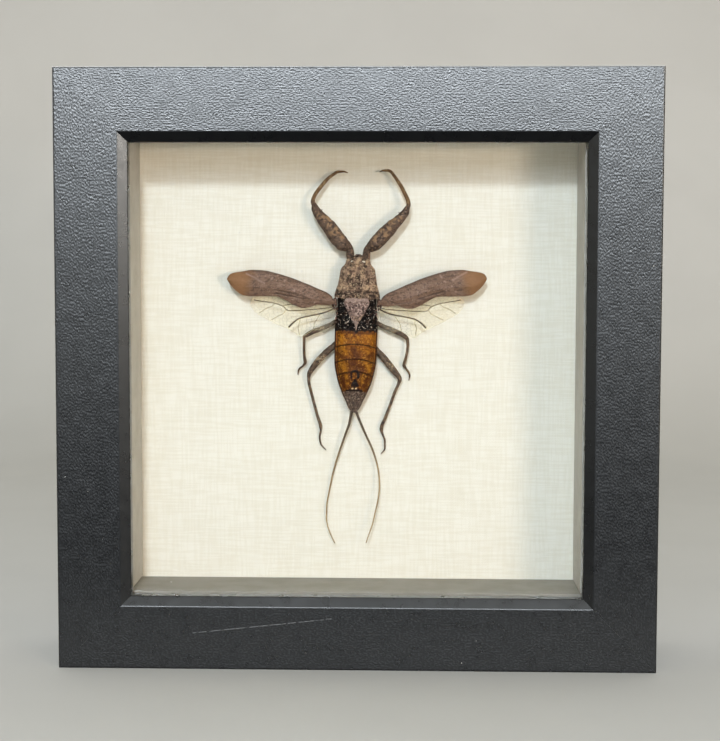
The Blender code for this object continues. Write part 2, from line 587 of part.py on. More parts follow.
def build():
    clear_scene()
    add_collection(PARTS)
    add_collection(CUTTERS)
    black_wood = make_material("black_painted_wood", (0.012, 0.013, 0.015), 0.42)
    glass = make_material("clear_glass", (0.93, 0.96, 0.95), 0.03)
    card = make_material("off_white_card", (0.6, 0.58, 0.53), 0.8)
    linen_paper = make_material("cream_linen_paper", (0.86, 0.82, 0.71), 0.85)
    hardboard = make_material("brown_hardboard", (0.2, 0.11, 0.05), 0.75)
    steel = make_material("bright_steel", (0.55, 0.56, 0.57), 0.35, 1.0)
    brass = make_material("brass", (0.72, 0.5, 0.18), 0.3, 1.0)
    glue = make_material("clear_glue", (0.75, 0.72, 0.6), 0.3)
    cuticle = make_material("brown_cuticle", (0.13, 0.07, 0.03), 0.5)
    leg_cuticle = make_material("mottled_leg_cuticle", (0.07, 0.045, 0.03), 0.55)
    leathery_wing = make_material("leathery_wing", (0.1, 0.065, 0.045), 0.5)
    membrane = make_material("wing_membrane", (0.75, 0.66, 0.48), 0.4)
    siphon_horn = make_material("siphon_horn", (0.4, 0.3, 0.18), 0.5)

    centre = add_object("frame_centre", None, location=(0, FRONT_Y, HALF_SIDE))
    rails = add_rails(black_wood, centre)
    add_pane("glass_pane", GLASS_THICKNESS, GLASS_Y, glass)
    add_walls(card)
    add_pane("linen_paper", PAPER_THICKNESS, PAPER_Y, linen_paper)
    add_pane("backing_board", BOARD_THICKNESS, BOARD_Y, hardboard)
    add_tabs(steel, centre)
    add_hanger(steel, brass, rails["top"])

    specimen = add_object("specimen", None, location=(SPECIMEN_X, PAPER_Y, SPECIMEN_Z),
                          rotation=(0, SPECIMEN_LEAN, 0))
    add_glue(glue, specimen)
    add_body(cuticle, specimen)
    for side, label in ((LEFT, "left"), (RIGHT, "right")):
        add_wing("forewing_" + label, FOREWING, side, FOREWING_HEIGHT,
                 FOREWING_HALF_THICKNESS, FOREWING_CAMBER, leathery_wing, specimen)
        add_wing("hindwing_" + label, HINDWING, side, HINDWING_HEIGHT,
                 HINDWING_HALF_THICKNESS, HINDWING_CAMBER, membrane, specimen)
    add_foreleg("foreleg_left", FORELEG_LEFT, LEFT, leg_cuticle, specimen)
    add_foreleg("foreleg_right", FORELEG_RIGHT, RIGHT, leg_cuticle, specimen)
    add_tube("midleg_left", MIDLEG_LEFT, LEFT, leg_cuticle, specimen)
    add_tube("midleg_right", MIDLEG_RIGHT, RIGHT, leg_cuticle, specimen)
    add_tube("hindleg_left", HINDLEG_LEFT, LEFT, leg_cuticle, specimen)
    add_tube("hindleg_right", HINDLEG_RIGHT, RIGHT, leg_cuticle, specimen)
    add_tube("siphon_left", SIPHON_LEFT, LEFT, siphon_horn, specimen)
    add_tube("siphon_right", SIPHON_RIGHT, RIGHT, siphon_horn, specimen)


build()
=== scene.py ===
"""A dried water scorpion, wings spread, fixed to linen paper in a square black shadow-box frame.

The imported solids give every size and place. This script dresses them: it puts finer pieces in place of the
rails and of the insect, gives every surface its material, and sets the light and the camera.
"""
import logging
import math
from collections.abc import Callable, Mapping, Sequence
from dataclasses import dataclass, field
from enum import Enum

import bmesh
import bpy
import numpy as np
from mathutils import Matrix, Vector, noise


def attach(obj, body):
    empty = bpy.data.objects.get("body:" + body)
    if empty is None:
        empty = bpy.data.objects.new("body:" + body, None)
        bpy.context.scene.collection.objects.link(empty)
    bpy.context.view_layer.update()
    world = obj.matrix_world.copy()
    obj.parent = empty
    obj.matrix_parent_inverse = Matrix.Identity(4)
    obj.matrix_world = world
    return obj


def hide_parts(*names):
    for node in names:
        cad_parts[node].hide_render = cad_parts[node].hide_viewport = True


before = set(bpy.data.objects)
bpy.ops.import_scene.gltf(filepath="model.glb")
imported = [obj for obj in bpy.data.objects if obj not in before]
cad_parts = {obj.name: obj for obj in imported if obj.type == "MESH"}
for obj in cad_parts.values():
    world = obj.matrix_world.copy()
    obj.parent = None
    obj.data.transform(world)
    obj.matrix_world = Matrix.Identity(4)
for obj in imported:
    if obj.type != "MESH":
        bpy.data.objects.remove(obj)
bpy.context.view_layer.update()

LOG = logging.getLogger("water_scorpion")

MM = 0.001
TINY = 1e-6  # a length in mm that counts as none
BODY = "root"  # nothing moves, so every piece rides on the one body
LEFT = -1
RIGHT = 1
SIDES = ((LEFT, "left"), (RIGHT, "right"))

# Inputs and output of a colour Mix node, by number, because its names repeat
MIX_FACTOR, MIX_FROM, MIX_TO = 0, 6, 7
MIX_COLOUR = 2

Profile = tuple[tuple[float, float], ...]
Path = tuple[tuple[float, float], ...]
Stroke = tuple[Path, float, float]
Station = tuple[float, float, float, float]
Feeds = Mapping[str | int, object]
Relieve = Callable[[np.ndarray, np.ndarray, np.ndarray], np.ndarray]
Paint = Callable[[np.ndarray, np.ndarray, np.ndarray], dict[str, np.ndarray]]


# Small tools

def linear(code: str) -> tuple[float, float, float, float]:
    """Turn an sRGB hex colour into the linear colour that a shader takes.

    Args:
        code: A colour such as "#6e5a4b".

    Returns:
        Linear red, green, blue and an alpha of one.
    """
    channels = (int(code[place:place + 2], 16) / 255 for place in (1, 3, 5))
    shares = [c / 12.92 if c <= 0.04045 else ((c + 0.055) / 1.055) ** 2.4 for c in channels]
    return (*shares, 1.0)


def add(tree: bpy.types.NodeTree, kind: str, feeds: Feeds | None = None, **settings: object) -> bpy.types.Node:
    """Add a shader node with its settings, values and links.

    Args:
        tree: The material's node tree.
        kind: The node's type without its "ShaderNode" prefix.
        feeds: Input name or number to a socket that is linked to it, or to a plain value.
        settings: Properties of the node.

    Returns:
        The new node.
    """
    node = tree.nodes.new("ShaderNode" + kind)
    for name, value in settings.items():
        setattr(node, name, value)
    for key, value in (feeds or {}).items():
        if isinstance(value, bpy.types.NodeSocket):
            tree.links.new(value, node.inputs[key])
        else:
            node.inputs[key].default_value = value
    return node


def along(profile: Profile, at: np.ndarray) -> np.ndarray:
    """Read a profile smoothly, without overshoot between its points.

    Args:
        profile: Places in rising order, each with its value.
        at: The places to read it at.

    Returns:
        The values there.
    """
    places, values = np.array(profile, float).T
    slopes = np.diff(values) / np.diff(places)
    tangents = np.zeros_like(values)
    tangents[0], tangents[-1] = slopes[0], slopes[-1]
    before, after = slopes[:-1], slopes[1:]
    even = before * after > 0
    tangents[1:-1][even] = 2 * before[even] * after[even] / (before + after)[even]
    low = np.clip(np.searchsorted(places, at) - 1, 0, len(places) - 2)
    width = places[low + 1] - places[low]
    t = np.clip((at - places[low]) / width, 0, 1)
    return ((1 + 2 * t) * (1 - t) ** 2 * values[low] + t * (1 - t) ** 2 * width * tangents[low]
            + t * t * (3 - 2 * t) * values[low + 1] + t * t * (t - 1) * width * tangents[low + 1])


def ramp(values: np.ndarray, low: float, high: float) -> np.ndarray:
    """Rise smoothly from 0 at low to 1 at high, or fall if low is the greater."""
    share = np.clip((values - low) / (high - low), 0, 1)
    return share * share * (3 - 2 * share)


def hump(values: np.ndarray, middle: float, width: float) -> np.ndarray:
    """Rise smoothly to 1 at a middle and fall away on both sides over a width."""
    return np.exp(-((values - middle) / width) ** 2)


def rumple(u: np.ndarray, v: np.ndarray, size: float, seed: float = 0.0, octaves: int = 2) -> np.ndarray:
    """Smooth unevenness between about -1 and 1 over a surface.

    Args:
        u: Places across, in mm.
        v: Places along, in mm.
        size: Width of one hump, in mm.
        seed: Chooses another stretch of the same unevenness.
        octaves: How many finer layers it has.

    Returns:
        One value for each place.
    """
    pairs = zip((u / size).ravel(), (v / size).ravel())
    heights = [noise.fractal(Vector((a, b, seed)), 1.0, 2.0, octaves) for a, b in pairs]
    return np.array(heights).reshape(u.shape)


def strokes(u: np.ndarray, v: np.ndarray, paths: Sequence[Stroke]) -> np.ndarray:
    """Mask of soft brush strokes laid over a surface.

    Args:
        u: Places across, in mm.
        v: Places along, in mm.
        paths: For each stroke its points, its half-width and the softness of its edge, in mm.

    Returns:
        0 away from every stroke and 1 on one.
    """
    mask = np.zeros_like(u)
    for path, half_width, soft in paths:
        nearest = np.full_like(u, np.inf)
        points = np.array(path, float)
        for start, end in zip(points, points[1:] if len(points) > 1 else points):
            run = end - start
            squared = max(float(run @ run), TINY)
            share = np.clip(((u - start[0]) * run[0] + (v - start[1]) * run[1]) / squared, 0, 1)
            away = np.hypot(u - start[0] - share * run[0], v - start[1] - share * run[1])
            nearest = np.minimum(nearest, away)
        mask = np.maximum(mask, ramp(nearest, half_width + soft, half_width))
    return mask


def skin(name: str, grid: np.ndarray, masks: Mapping[str, np.ndarray] | None = None) -> bpy.types.Mesh:
    """Make a closed mesh from rings of points, with both ends filled.

    Args:
        name: The mesh's name.
        grid: Points in mm, as rings by points by three.
        masks: Named values for each point, which the materials read.

    Returns:
        The smooth-shaded mesh, in metres.
    """
    rings, count = grid.shape[:2]
    index = np.arange(rings * count).reshape(rings, count)
    after = np.roll(index, -1, axis=1)
    sides = np.stack([index[:-1], after[:-1], after[1:], index[1:]], axis=-1).reshape(-1, 4)
    ends = [index[0, ::-1].tolist(), index[-1].tolist()]
    mesh = bpy.data.meshes.new(name)
    mesh.from_pydata((grid.reshape(-1, 3) * MM).tolist(), [], sides.tolist() + ends)
    for label, values in (masks or {}).items():
        layer = mesh.attributes.new(label, "FLOAT", "POINT")
        layer.data.foreach_set("value", np.clip(values, 0, 1).astype(np.float32).ravel())
    bm = bmesh.new()
    bm.from_mesh(mesh)
    bmesh.ops.recalc_face_normals(bm, faces=bm.faces)
    bm.to_mesh(mesh)
    bm.free()
    mesh.shade_smooth()
    return mesh


def joined(name: str, meshes: Sequence[bpy.types.Mesh]) -> bpy.types.Mesh:
    """Put several meshes into one and forget them.

    Args:
        name: The new mesh's name.
        meshes: Meshes with the same named masks.

    Returns:
        One smooth-shaded mesh.
    """
    bm = bmesh.new()
    for mesh in meshes:
        bm.from_mesh(mesh)
    whole = bpy.data.meshes.new(name)
    bm.to_mesh(whole)
    bm.free()
    for mesh in meshes:
        bpy.data.meshes.remove(mesh)
    whole.shade_smooth()
    return whole


def ball(name: str, centre: tuple[float, float, float], radii: tuple[float, float, float]) -> bpy.types.Mesh:
    """A rounded lump.

    Args:
        name: The mesh's name.
        centre: Its middle, in mm.
        radii: Its half-sizes, in mm.

    Returns:
        The mesh.
    """
    mesh = bpy.data.meshes.new(name)
    bm = bmesh.new()
    bmesh.ops.create_icosphere(bm, subdivisions=4, radius=1.0)
    bm.to_mesh(mesh)
    bm.free()
    mesh.transform(Matrix.Translation(Vector(centre) * MM) @ Matrix.Diagonal((*(r * MM for r in radii), 1.0)))
    mesh.shade_smooth()
    return mesh


# Finishes

class Pattern(Enum):
    """The kinds of small pattern that a surface can carry."""

    CLOUDS = "clouds"
    SPECKS = "specks"
    NET = "net"


@dataclass(frozen=True)
class Grain:
    """A pattern at its real size in mm, turned into a mask that rises between two of its levels."""

    size: float
    low: float = 0.4
    high: float = 0.6
    stretch: tuple[float, float, float] = (1.0, 1.0, 1.0)
    detail: float = 2.0
    pattern: Pattern = Pattern.CLOUDS
    seed: float = 0.0

    def mask(self, tree: bpy.types.NodeTree, place: bpy.types.NodeSocket) -> bpy.types.NodeSocket:
        """Build the pattern's nodes.

        Args:
            tree: The material's node tree.
            place: Places on the surface, in metres.

        Returns:
            A socket that runs from 0 to 1.
        """
        factors = [1 / (MM * self.size * share) for share in self.stretch]
        scaled = add(tree, "VectorMath", {0: place, 1: factors}, operation="MULTIPLY").outputs[0]
        shifted = add(tree, "VectorMath", {0: scaled, 1: (self.seed, 0.3 * self.seed, 0.7 * self.seed)},
                      operation="ADD").outputs[0]
        if self.pattern is Pattern.CLOUDS:
            raw = add(tree, "TexNoise", {"Vector": shifted, "Scale": 1.0, "Detail": self.detail}).outputs[0]
        elif self.pattern is Pattern.SPECKS:
            raw = add(tree, "TexVoronoi", {"Vector": shifted, "Scale": 1.0}).outputs["Distance"]
        else:
            split = add(tree, "SeparateXYZ", {0: shifted}).outputs
            flat = add(tree, "CombineXYZ", {0: split[0], 1: split[2]}).outputs[0]
            raw = add(tree, "TexVoronoi", {"Vector": flat, "Scale": 1.0, "Randomness": 0.75},
                      voronoi_dimensions="2D", feature="DISTANCE_TO_EDGE").outputs["Distance"]
        return add(tree, "MapRange", {"Value": raw, "From Min": self.low, "From Max": self.high},
                   interpolation_type="SMOOTHSTEP").outputs[0]


@dataclass(frozen=True)
class Scratch:
    """A straight scratch between two places on a surface that faces along Y, in mm."""

    start: tuple[float, float]
    end: tuple[float, float]
    width: float

    def mask(self, tree: bpy.types.NodeTree, place: bpy.types.NodeSocket) -> bpy.types.NodeSocket:
        """Build the nodes that find the distance from the scratch's line.

        Args:
            tree: The material's node tree.
            place: Places on the surface, in metres.

        Returns:
            A socket that is 1 on the scratch and 0 beside it.
        """
        run = Vector((self.end[0] - self.start[0], 0, self.end[1] - self.start[1]))
        flat = add(tree, "VectorMath", {0: place, 1: (1 / MM, 0, 1 / MM)}, operation="MULTIPLY").outputs[0]
        start = (self.start[0], 0, self.start[1])
        reach = add(tree, "VectorMath", {0: flat, 1: start}, operation="SUBTRACT").outputs[0]
        dot = add(tree, "VectorMath", {0: reach, 1: run}, operation="DOT_PRODUCT").outputs["Value"]
        share = add(tree, "Math", {0: dot, 1: 1 / run.length_squared}, operation="MULTIPLY", use_clamp=True)
        foot = add(tree, "VectorMath", {0: run, "Scale": share.outputs[0]}, operation="SCALE").outputs[0]
        far = add(tree, "VectorMath", {0: reach, 1: foot}, operation="DISTANCE").outputs["Value"]
        return add(tree, "MapRange", {"Value": far, "From Min": self.width, "From Max": 0.3 * self.width},
                   interpolation_type="SMOOTHSTEP").outputs[0]


@dataclass(frozen=True)
class Tint:
    """A second colour, laid where its grain, its painted mask and its scratch all are."""

    colour: str
    amount: float = 1.0
    grain: Grain | None = None
    mask: str = ""
    scratch: Scratch | None = None


@dataclass(frozen=True)
class Relief:
    """Unevenness too small to model: a grain that stands up by a height in mm, where its painted mask is."""

    grain: Grain
    height: float
    mask: str = ""


@dataclass(frozen=True)
class Finish:
    """One real surface: its colour, the tints over it, its relief and its gloss."""

    name: str
    colour: str
    roughness: float
    tints: tuple[Tint, ...] = ()
    reliefs: tuple[Relief, ...] = ()
    rough_grain: Grain | None = None
    rough_spread: float = 0.0
    metallic: float = 0.0
    ior: float = 1.5
    shine: float = 0.5
    coat: float = 0.0
    coat_roughness: float = 0.3

    def material(self) -> bpy.types.Material:
        """Build the material.

        Returns:
            The material, whose nodes are linked to its output.
        """
        material = bpy.data.materials.new(self.name)
        material.use_nodes = True
        tree = material.node_tree
        tree.nodes.clear()
        place = add(tree, "TexCoord").outputs["Object"]
        shader = add(tree, "BsdfPrincipled", {
            "Base Color": self.paint(tree, place),
            "Roughness": self.gloss(tree, place),
            "Metallic": self.metallic,
            "Specular IOR Level": self.shine,
            "Coat Weight": self.coat,
            "Coat Roughness": self.coat_roughness,
        })
        if not self.metallic:
            shader.inputs["IOR"].default_value = self.ior
        bump = self.bump(tree, place)
        if bump:
            tree.links.new(bump, shader.inputs["Normal"])
            tree.links.new(bump, shader.inputs["Coat Normal"])
        add(tree, "OutputMaterial", {"Surface": self.surface(tree, shader, place)})
        material.diffuse_color = linear(self.colour)
        return material

    def paint(self, tree: bpy.types.NodeTree, place: bpy.types.NodeSocket) -> bpy.types.NodeSocket:
        """Lay the tints over the base colour.

        Args:
            tree: The material's node tree.
            place: Places on the surface, in metres.

        Returns:
            The colour.
        """
        colour: object = linear(self.colour)
        for tint in self.tints:
            factor: object = tint.amount
            masks = [add(tree, "Attribute", attribute_name=tint.mask).outputs["Fac"]] if tint.mask else []
            masks += [source.mask(tree, place) for source in (tint.grain, tint.scratch) if source]
            for mask in masks:
                factor = add(tree, "Math", {0: mask, 1: factor}, operation="MULTIPLY").outputs[0]
            colour = add(tree, "Mix", {MIX_FACTOR: factor, MIX_FROM: colour, MIX_TO: linear(tint.colour)},
                         data_type="RGBA").outputs[MIX_COLOUR]
        return colour

    def gloss(self, tree: bpy.types.NodeTree, place: bpy.types.NodeSocket) -> object:
        """Vary the roughness about its middle value.

        Args:
            tree: The material's node tree.
            place: Places on the surface, in metres.

        Returns:
            A socket, or a plain number where the gloss is even.
        """
        if not self.rough_grain:
            return self.roughness
        return add(tree, "MapRange", {
            "Value": self.rough_grain.mask(tree, place),
            "To Min": self.roughness - self.rough_spread,
            "To Max": self.roughness + self.rough_spread,
        }).outputs[0]

    def bump(self, tree: bpy.types.NodeTree, place: bpy.types.NodeSocket) -> bpy.types.NodeSocket | None:
        """Stack the reliefs on each other.

        Args:
            tree: The material's node tree.
            place: Places on the surface, in metres.

        Returns:
            The bent normal, or None without a relief.
        """
        normal = None
        for relief in self.reliefs:
            feeds = {"Height": relief.grain.mask(tree, place), "Distance": relief.height * MM}
            if relief.mask:
                feeds["Strength"] = add(tree, "Attribute", attribute_name=relief.mask).outputs["Fac"]
            if normal:
                feeds["Normal"] = normal
            normal = add(tree, "Bump", feeds).outputs[0]
        return normal

    def surface(self, tree: bpy.types.NodeTree, shader: bpy.types.Node,
                place: bpy.types.NodeSocket) -> bpy.types.NodeSocket:
        """Give the shader as it is; see-through finishes add to it."""
        return shader.outputs[0]


@dataclass(frozen=True)
class ClearGlass(Finish):
    """Picture glass that light passes straight through on its way to the paper."""

    dust: Grain = field(default_factory=lambda: Grain(11.0, 0.016, 0.008, pattern=Pattern.SPECKS))
    dust_colour: str = "#f4f2ee"
    passed_light: tuple[float, float, float, float] = (0.94, 0.95, 0.945, 1.0)

    def surface(self, tree: bpy.types.NodeTree, shader: bpy.types.Node,
                place: bpy.types.NodeSocket) -> bpy.types.NodeSocket:
        """Let lamp light and bounced light through and keep the reflection.

        Args:
            tree: The material's node tree.
            shader: The glass shader.
            place: Places on the surface, in metres.

        Returns:
            The surface.
        """
        shader.inputs["Transmission Weight"].default_value = 1.0
        path = add(tree, "LightPath").outputs
        ray = add(tree, "Math", {0: path["Is Shadow Ray"], 1: path["Is Diffuse Ray"]}, operation="MAXIMUM")
        clear = add(tree, "BsdfTransparent", {"Color": self.passed_light}).outputs[0]
        pane = add(tree, "MixShader", {0: ray.outputs[0], 1: shader.outputs[0], 2: clear}).outputs[0]
        speck = add(tree, "BsdfDiffuse", {"Color": linear(self.dust_colour)}).outputs[0]
        return add(tree, "MixShader", {0: self.dust.mask(tree, place), 1: pane, 2: speck}).outputs[0]


@dataclass(frozen=True)
class WingMembrane(Finish):
    """A film thin enough to see through, more solid along its veins."""

    film: float = 0.5
    vein: Grain = field(default_factory=lambda: Grain(1.0))
    vein_solid: float = 0.5
    most_solid: float = 0.95
    solid_mask: str = "solid"
    shade: float = 0.15

    def surface(self, tree: bpy.types.NodeTree, shader: bpy.types.Node,
                place: bpy.types.NodeSocket) -> bpy.types.NodeSocket:
        """Set how solid the film is, and less so to lamp light, which it scatters on to the paper.

        Args:
            tree: The material's node tree.
            shader: The film's shader.
            place: Places on the surface, in metres.

        Returns:
            The surface.
        """
        veins = self.vein.mask(tree, place)
        net = add(tree, "Math", {0: veins, 1: self.vein_solid}, operation="MULTIPLY").outputs[0]
        solid = add(tree, "Attribute", attribute_name=self.solid_mask).outputs["Fac"]
        most = add(tree, "Math", {0: net, 1: solid}, operation="MAXIMUM").outputs[0]
        alpha = add(tree, "MapRange", {"Value": most, "To Min": self.film,
                                       "To Max": self.most_solid}).outputs[0]
        shade = add(tree, "MapRange", {"Value": add(tree, "LightPath").outputs["Is Shadow Ray"],
                                       "To Min": 1.0, "To Max": self.shade}).outputs[0]
        seen = add(tree, "Math", {0: alpha, 1: shade}, operation="MULTIPLY").outputs[0]
        tree.links.new(seen, shader.inputs["Alpha"])
        return shader.outputs[0]


# Wood under satin black lacquer: nearly black, with a stippled grain that breaks up the shine. The real
# stipple is finer; it is drawn 0.4 mm wide, because a finer one would be lost in the render.
LACQUER_GRAINS = (
    Relief(Grain(0.4, 0.2, 0.8, stretch=(1.5, 1.0, 1.0), detail=0.0), 0.026, "grained"),
    Relief(Grain(8.0, 0.2, 0.8, detail=1.0, seed=8.0), 0.02),
)
LACQUER_TINTS = (
    Tint("#2c2e31", 0.5, Grain(0.4, 0.5, 0.66, stretch=(1.5, 1.0, 1.0), detail=0.0), "grained"),
    Tint("#d9d9d4", 0.9, Grain(5.0, 0.03, 0.014, pattern=Pattern.SPECKS, seed=2.0)),
)
BLACK_LACQUER = Finish("black_lacquered_wood", "#0a0b0d", 0.29, LACQUER_TINTS, LACQUER_GRAINS,
                       rough_grain=Grain(3.0, 0.3, 0.7), rough_spread=0.02)
SCRATCHED_LACQUER = Finish("scratched_black_lacquer", "#0a0b0d", 0.29, LACQUER_TINTS + (
    Tint("#8d8f92", 0.5, Grain(1.2, 0.35, 0.55), "front", Scratch((-41.6, -66.8), (-6.3, -62.9), 0.14)),
    Tint("#77797c", 0.45, Grain(1.0, 0.35, 0.5), "front", Scratch((-75.2, -70.0), (-69.6, -69.9), 0.2)),
    Tint("#6d6864", 0.7, Grain(0.8, 0.45, 0.6), "front", Scratch((75.9, -62.0), (75.9, -75.9), 0.5)),
), LACQUER_GRAINS, rough_grain=Grain(3.0, 0.3, 0.7), rough_spread=0.02)

# Clear picture glass, treated so that it hardly reflects, with a few specks of dust
PICTURE_GLASS = ClearGlass("clear_picture_glass", "#ffffff", 0.0, ior=1.5, shine=0.1)

# Matt off-white card: smooth, faintly cloudy
CARD = Finish("off_white_card", "#bab6ad", 0.6, (
    Tint("#a39d90", 0.5, Grain(7.0, 0.35, 0.7)),
    Tint("#c2bdb4", 0.4, Grain(1.4, 0.4, 0.7, seed=3.0)),
), (Relief(Grain(0.8, 0.3, 0.7), 0.012),), shine=0.25)

# The lower strip of the same card, darker and greyer than the other walls, with pale specks
DARKER_LOWER_CARD = Finish("darker_lower_card", "#989389", 0.75, (
    Tint("#888377", 0.5, Grain(6.0, 0.35, 0.7)),
    Tint("#c0bcb3", 0.7, Grain(2.4, 0.06, 0.02, pattern=Pattern.SPECKS, seed=3.0)),
), (Relief(Grain(0.8, 0.3, 0.7), 0.012),), shine=0.2)

# Paper embossed like linen: fine threads both ways at their real distance, about half a millimetre
LINEN_PAPER = Finish("linen_paper", "#f1ede1", 0.85, (
    Tint("#ded6c1", 0.26, Grain(0.34, 0.45, 0.57, stretch=(22.0, 1.0, 1.0), detail=0.0)),
    Tint("#ded6c1", 0.22, Grain(0.34, 0.45, 0.57, stretch=(1.0, 1.0, 22.0), detail=0.0, seed=5.0)),
), (
    Relief(Grain(0.34, 0.35, 0.65, stretch=(22.0, 1.0, 1.0), detail=0.0), 0.009),
    Relief(Grain(0.34, 0.35, 0.65, stretch=(1.0, 1.0, 22.0), detail=0.0, seed=5.0), 0.008),
), shine=0.2)

# Pressed wood-fibre board, plain brown with darker fibres
HARDBOARD = Finish("pressed_fibre_board", "#7c5a3a", 0.8, (
    Tint("#5d3f26", 0.6, Grain(0.9, 0.45, 0.65, stretch=(3.0, 1.0, 1.0))),
    Tint("#94714b", 0.5, Grain(2.2, 0.5, 0.7, seed=2.0)),
), (Relief(Grain(0.7, 0.3, 0.7), 0.03),))

# Zinc-plated steel: bright and a little clouded
ZINC_STEEL = Finish("zinc_plated_steel", "#b9bcc0", 0.3, (
    Tint("#96999d", 0.5, Grain(2.5, 0.4, 0.7)),
), (Relief(Grain(0.5, 0.3, 0.7, stretch=(6.0, 1.0, 1.0)), 0.004),),
    rough_grain=Grain(1.5, 0.3, 0.7), rough_spread=0.08, metallic=1.0)

# Brass-plated nail heads
BRASS = Finish("brass_plated_nail", "#d2ab5c", 0.25, (Tint("#a17c39", 0.5, Grain(0.8, 0.4, 0.7)),),
               (Relief(Grain(0.4, 0.3, 0.7), 0.004),), metallic=1.0)

# A dab of clear glue, yellowed and set
GLUE = Finish("dried_glue", "#d9cfae", 0.25, (Tint("#b8a778", 0.5, Grain(1.6, 0.4, 0.7)),),
              (Relief(Grain(1.1, 0.3, 0.7), 0.03),), ior=1.45)

# Chitin of the neck shield: coarse grains like dried mud, brown and tan, with hardly any shine. Here and on
# the rest of the insect the finest grains are drawn about 0.4 mm wide, coarser than real ones, so they show.
SHIELD_CHITIN = Finish("granular_shield_chitin", "#846b5a", 0.7, (
    Tint("#ab8e74", 0.8, Grain(1.7, 0.48, 0.6)),
    Tint("#4c3a30", 0.8, Grain(1.3, 0.49, 0.6, seed=13.0)),
    Tint("#b99b7c", 0.95, Grain(0.8, 0.2, 0.42, seed=2.0), mask="pale"),
    Tint("#271b16", 0.95, Grain(0.8, 0.2, 0.42, seed=11.0), mask="dark"),
    Tint("#2c201a", 0.75, Grain(0.4, 0.53, 0.63, seed=7.0)),
    Tint("#d2b999", 0.6, Grain(0.4, 0.58, 0.68, seed=3.0)),
), (Relief(Grain(0.5, 0.3, 0.7), 0.09), Relief(Grain(0.24, 0.3, 0.7, seed=4.0), 0.04)),
    rough_grain=Grain(0.6, 0.3, 0.7), rough_spread=0.12, shine=0.1)

# Chitin of the triangular plate: mauve grey, paler along its front edge
PLATE_CHITIN = Finish("mauve_plate_chitin", "#755f57", 0.65, (
    Tint("#b0978c", 0.95, Grain(0.55, 0.5, 0.6)),
    Tint("#2f231f", 0.9, Grain(0.55, 0.51, 0.6, seed=6.0)),
    Tint("#a98d72", 0.7, Grain(0.5, 0.48, 0.6, seed=9.0), mask="tan"),
    Tint("#a28b80", 0.7, mask="pale"),
), (Relief(Grain(0.4, 0.3, 0.7), 0.08),), rough_grain=Grain(0.5, 0.3, 0.7), rough_spread=0.1, shine=0.08)

# Bare black chitin at the wing roots: crumpled, with whitish flecks painted on as highlights where it catches
# the light
BLACK_CHITIN_PAINTED_GLINTS = Finish("black_chitin_painted_glints", "#080504", 0.45, (
    Tint("#2c1a12", 0.6, Grain(0.9, 0.53, 0.64)),
    # whitish flecks: painted highlights
    Tint("#d6c3b2", 0.95, Grain(0.4, 0.61, 0.68, seed=3.0)),
), (Relief(Grain(0.5, 0.3, 0.7), 0.12),), rough_grain=Grain(0.5, 0.3, 0.7), rough_spread=0.12, shine=0.06)

# Amber chitin of the bare abdomen: warm orange brown, gold where it is thin, deeper towards the tail
AMBER_CHITIN = Finish("amber_abdomen_chitin", "#824b0f", 0.5, (
    Tint("#a56a1a", 0.7, Grain(1.3, 0.46, 0.64)),
    Tint("#4c2206", 0.65, Grain(0.8, 0.5, 0.64, stretch=(1.0, 1.0, 1.6), seed=5.0)),
    Tint("#3e1804", 0.68, mask="deep"),
    Tint("#b0741c", 0.6, mask="gold"),
    Tint("#c48f3a", 0.5, Grain(0.42, 0.55, 0.66, seed=12.0)),
    Tint("#3b1b08", 0.55, Grain(0.42, 0.52, 0.63, seed=15.0)),
    Tint("#421c07", 0.75, mask="stain"),
    Tint("#211007", 0.85, mask="line"),
    Tint("#29110a", 0.9, mask="rim"),
    Tint("#080403", 0.98, mask="mark"),
    Tint("#e0c69a", 0.9, mask="spot"),
    Tint("#56463b", 0.96, mask="tail"),
    Tint("#2b201b", 0.8, Grain(0.5, 0.47, 0.6, seed=8.0), mask="tail"),
    Tint("#9a8676", 0.6, Grain(0.5, 0.53, 0.64, seed=4.0), mask="tail"),
), (Relief(Grain(0.45, 0.3, 0.7), 0.03), Relief(Grain(1.4, 0.3, 0.7, seed=2.0), 0.05)),
    rough_grain=Grain(0.8, 0.3, 0.7), rough_spread=0.1, shine=0.06)

# Soft skin at the wing hinges, brown pink between dark folds
HINGE_SKIN = Finish("brown_hinge_skin", "#4e342a", 0.6, (
    Tint("#c09a88", 0.8, Grain(0.55, 0.52, 0.62)),
    Tint("#1a0f0b", 0.9, Grain(0.6, 0.44, 0.56, seed=3.0)),
), (Relief(Grain(0.4, 0.3, 0.7), 0.08),), shine=0.2)

# Eyes: small pale balls whose pale colour is a painted highlight, standing in for the glint of the lamps on
# the eyes
PAINTED_EYE_GLINT = Finish("eye_painted_glint", "#e6decd", 0.15, (Tint("#a39a88", 0.4, Grain(0.3, 0.5, 0.6)),),
             (Relief(Grain(0.12, 0.3, 0.7), 0.004),), ior=1.52, coat=0.5, coat_roughness=0.06)

# Chitin of the grasping legs: dark brown, blotched with tan
GRASPING_CHITIN = Finish("blotched_leg_chitin", "#544236", 0.65, (
    Tint("#281d17", 0.85, Grain(0.75, 0.5, 0.62)),
    Tint("#947556", 0.9, Grain(0.8, 0.4, 0.58, seed=4.0), mask="pale"),
    Tint("#8a6e56", 0.65, Grain(0.5, 0.56, 0.66, seed=9.0)),
    Tint("#674b2c", 0.8, mask="shin"),
    Tint("#9e835d", 0.6, Grain(0.7, 0.52, 0.64, stretch=(1.0, 1.0, 2.0), seed=2.0), mask="shin"),
), (Relief(Grain(0.4, 0.3, 0.7), 0.06),), rough_grain=Grain(0.6, 0.3, 0.7), rough_spread=0.1, shine=0.15)

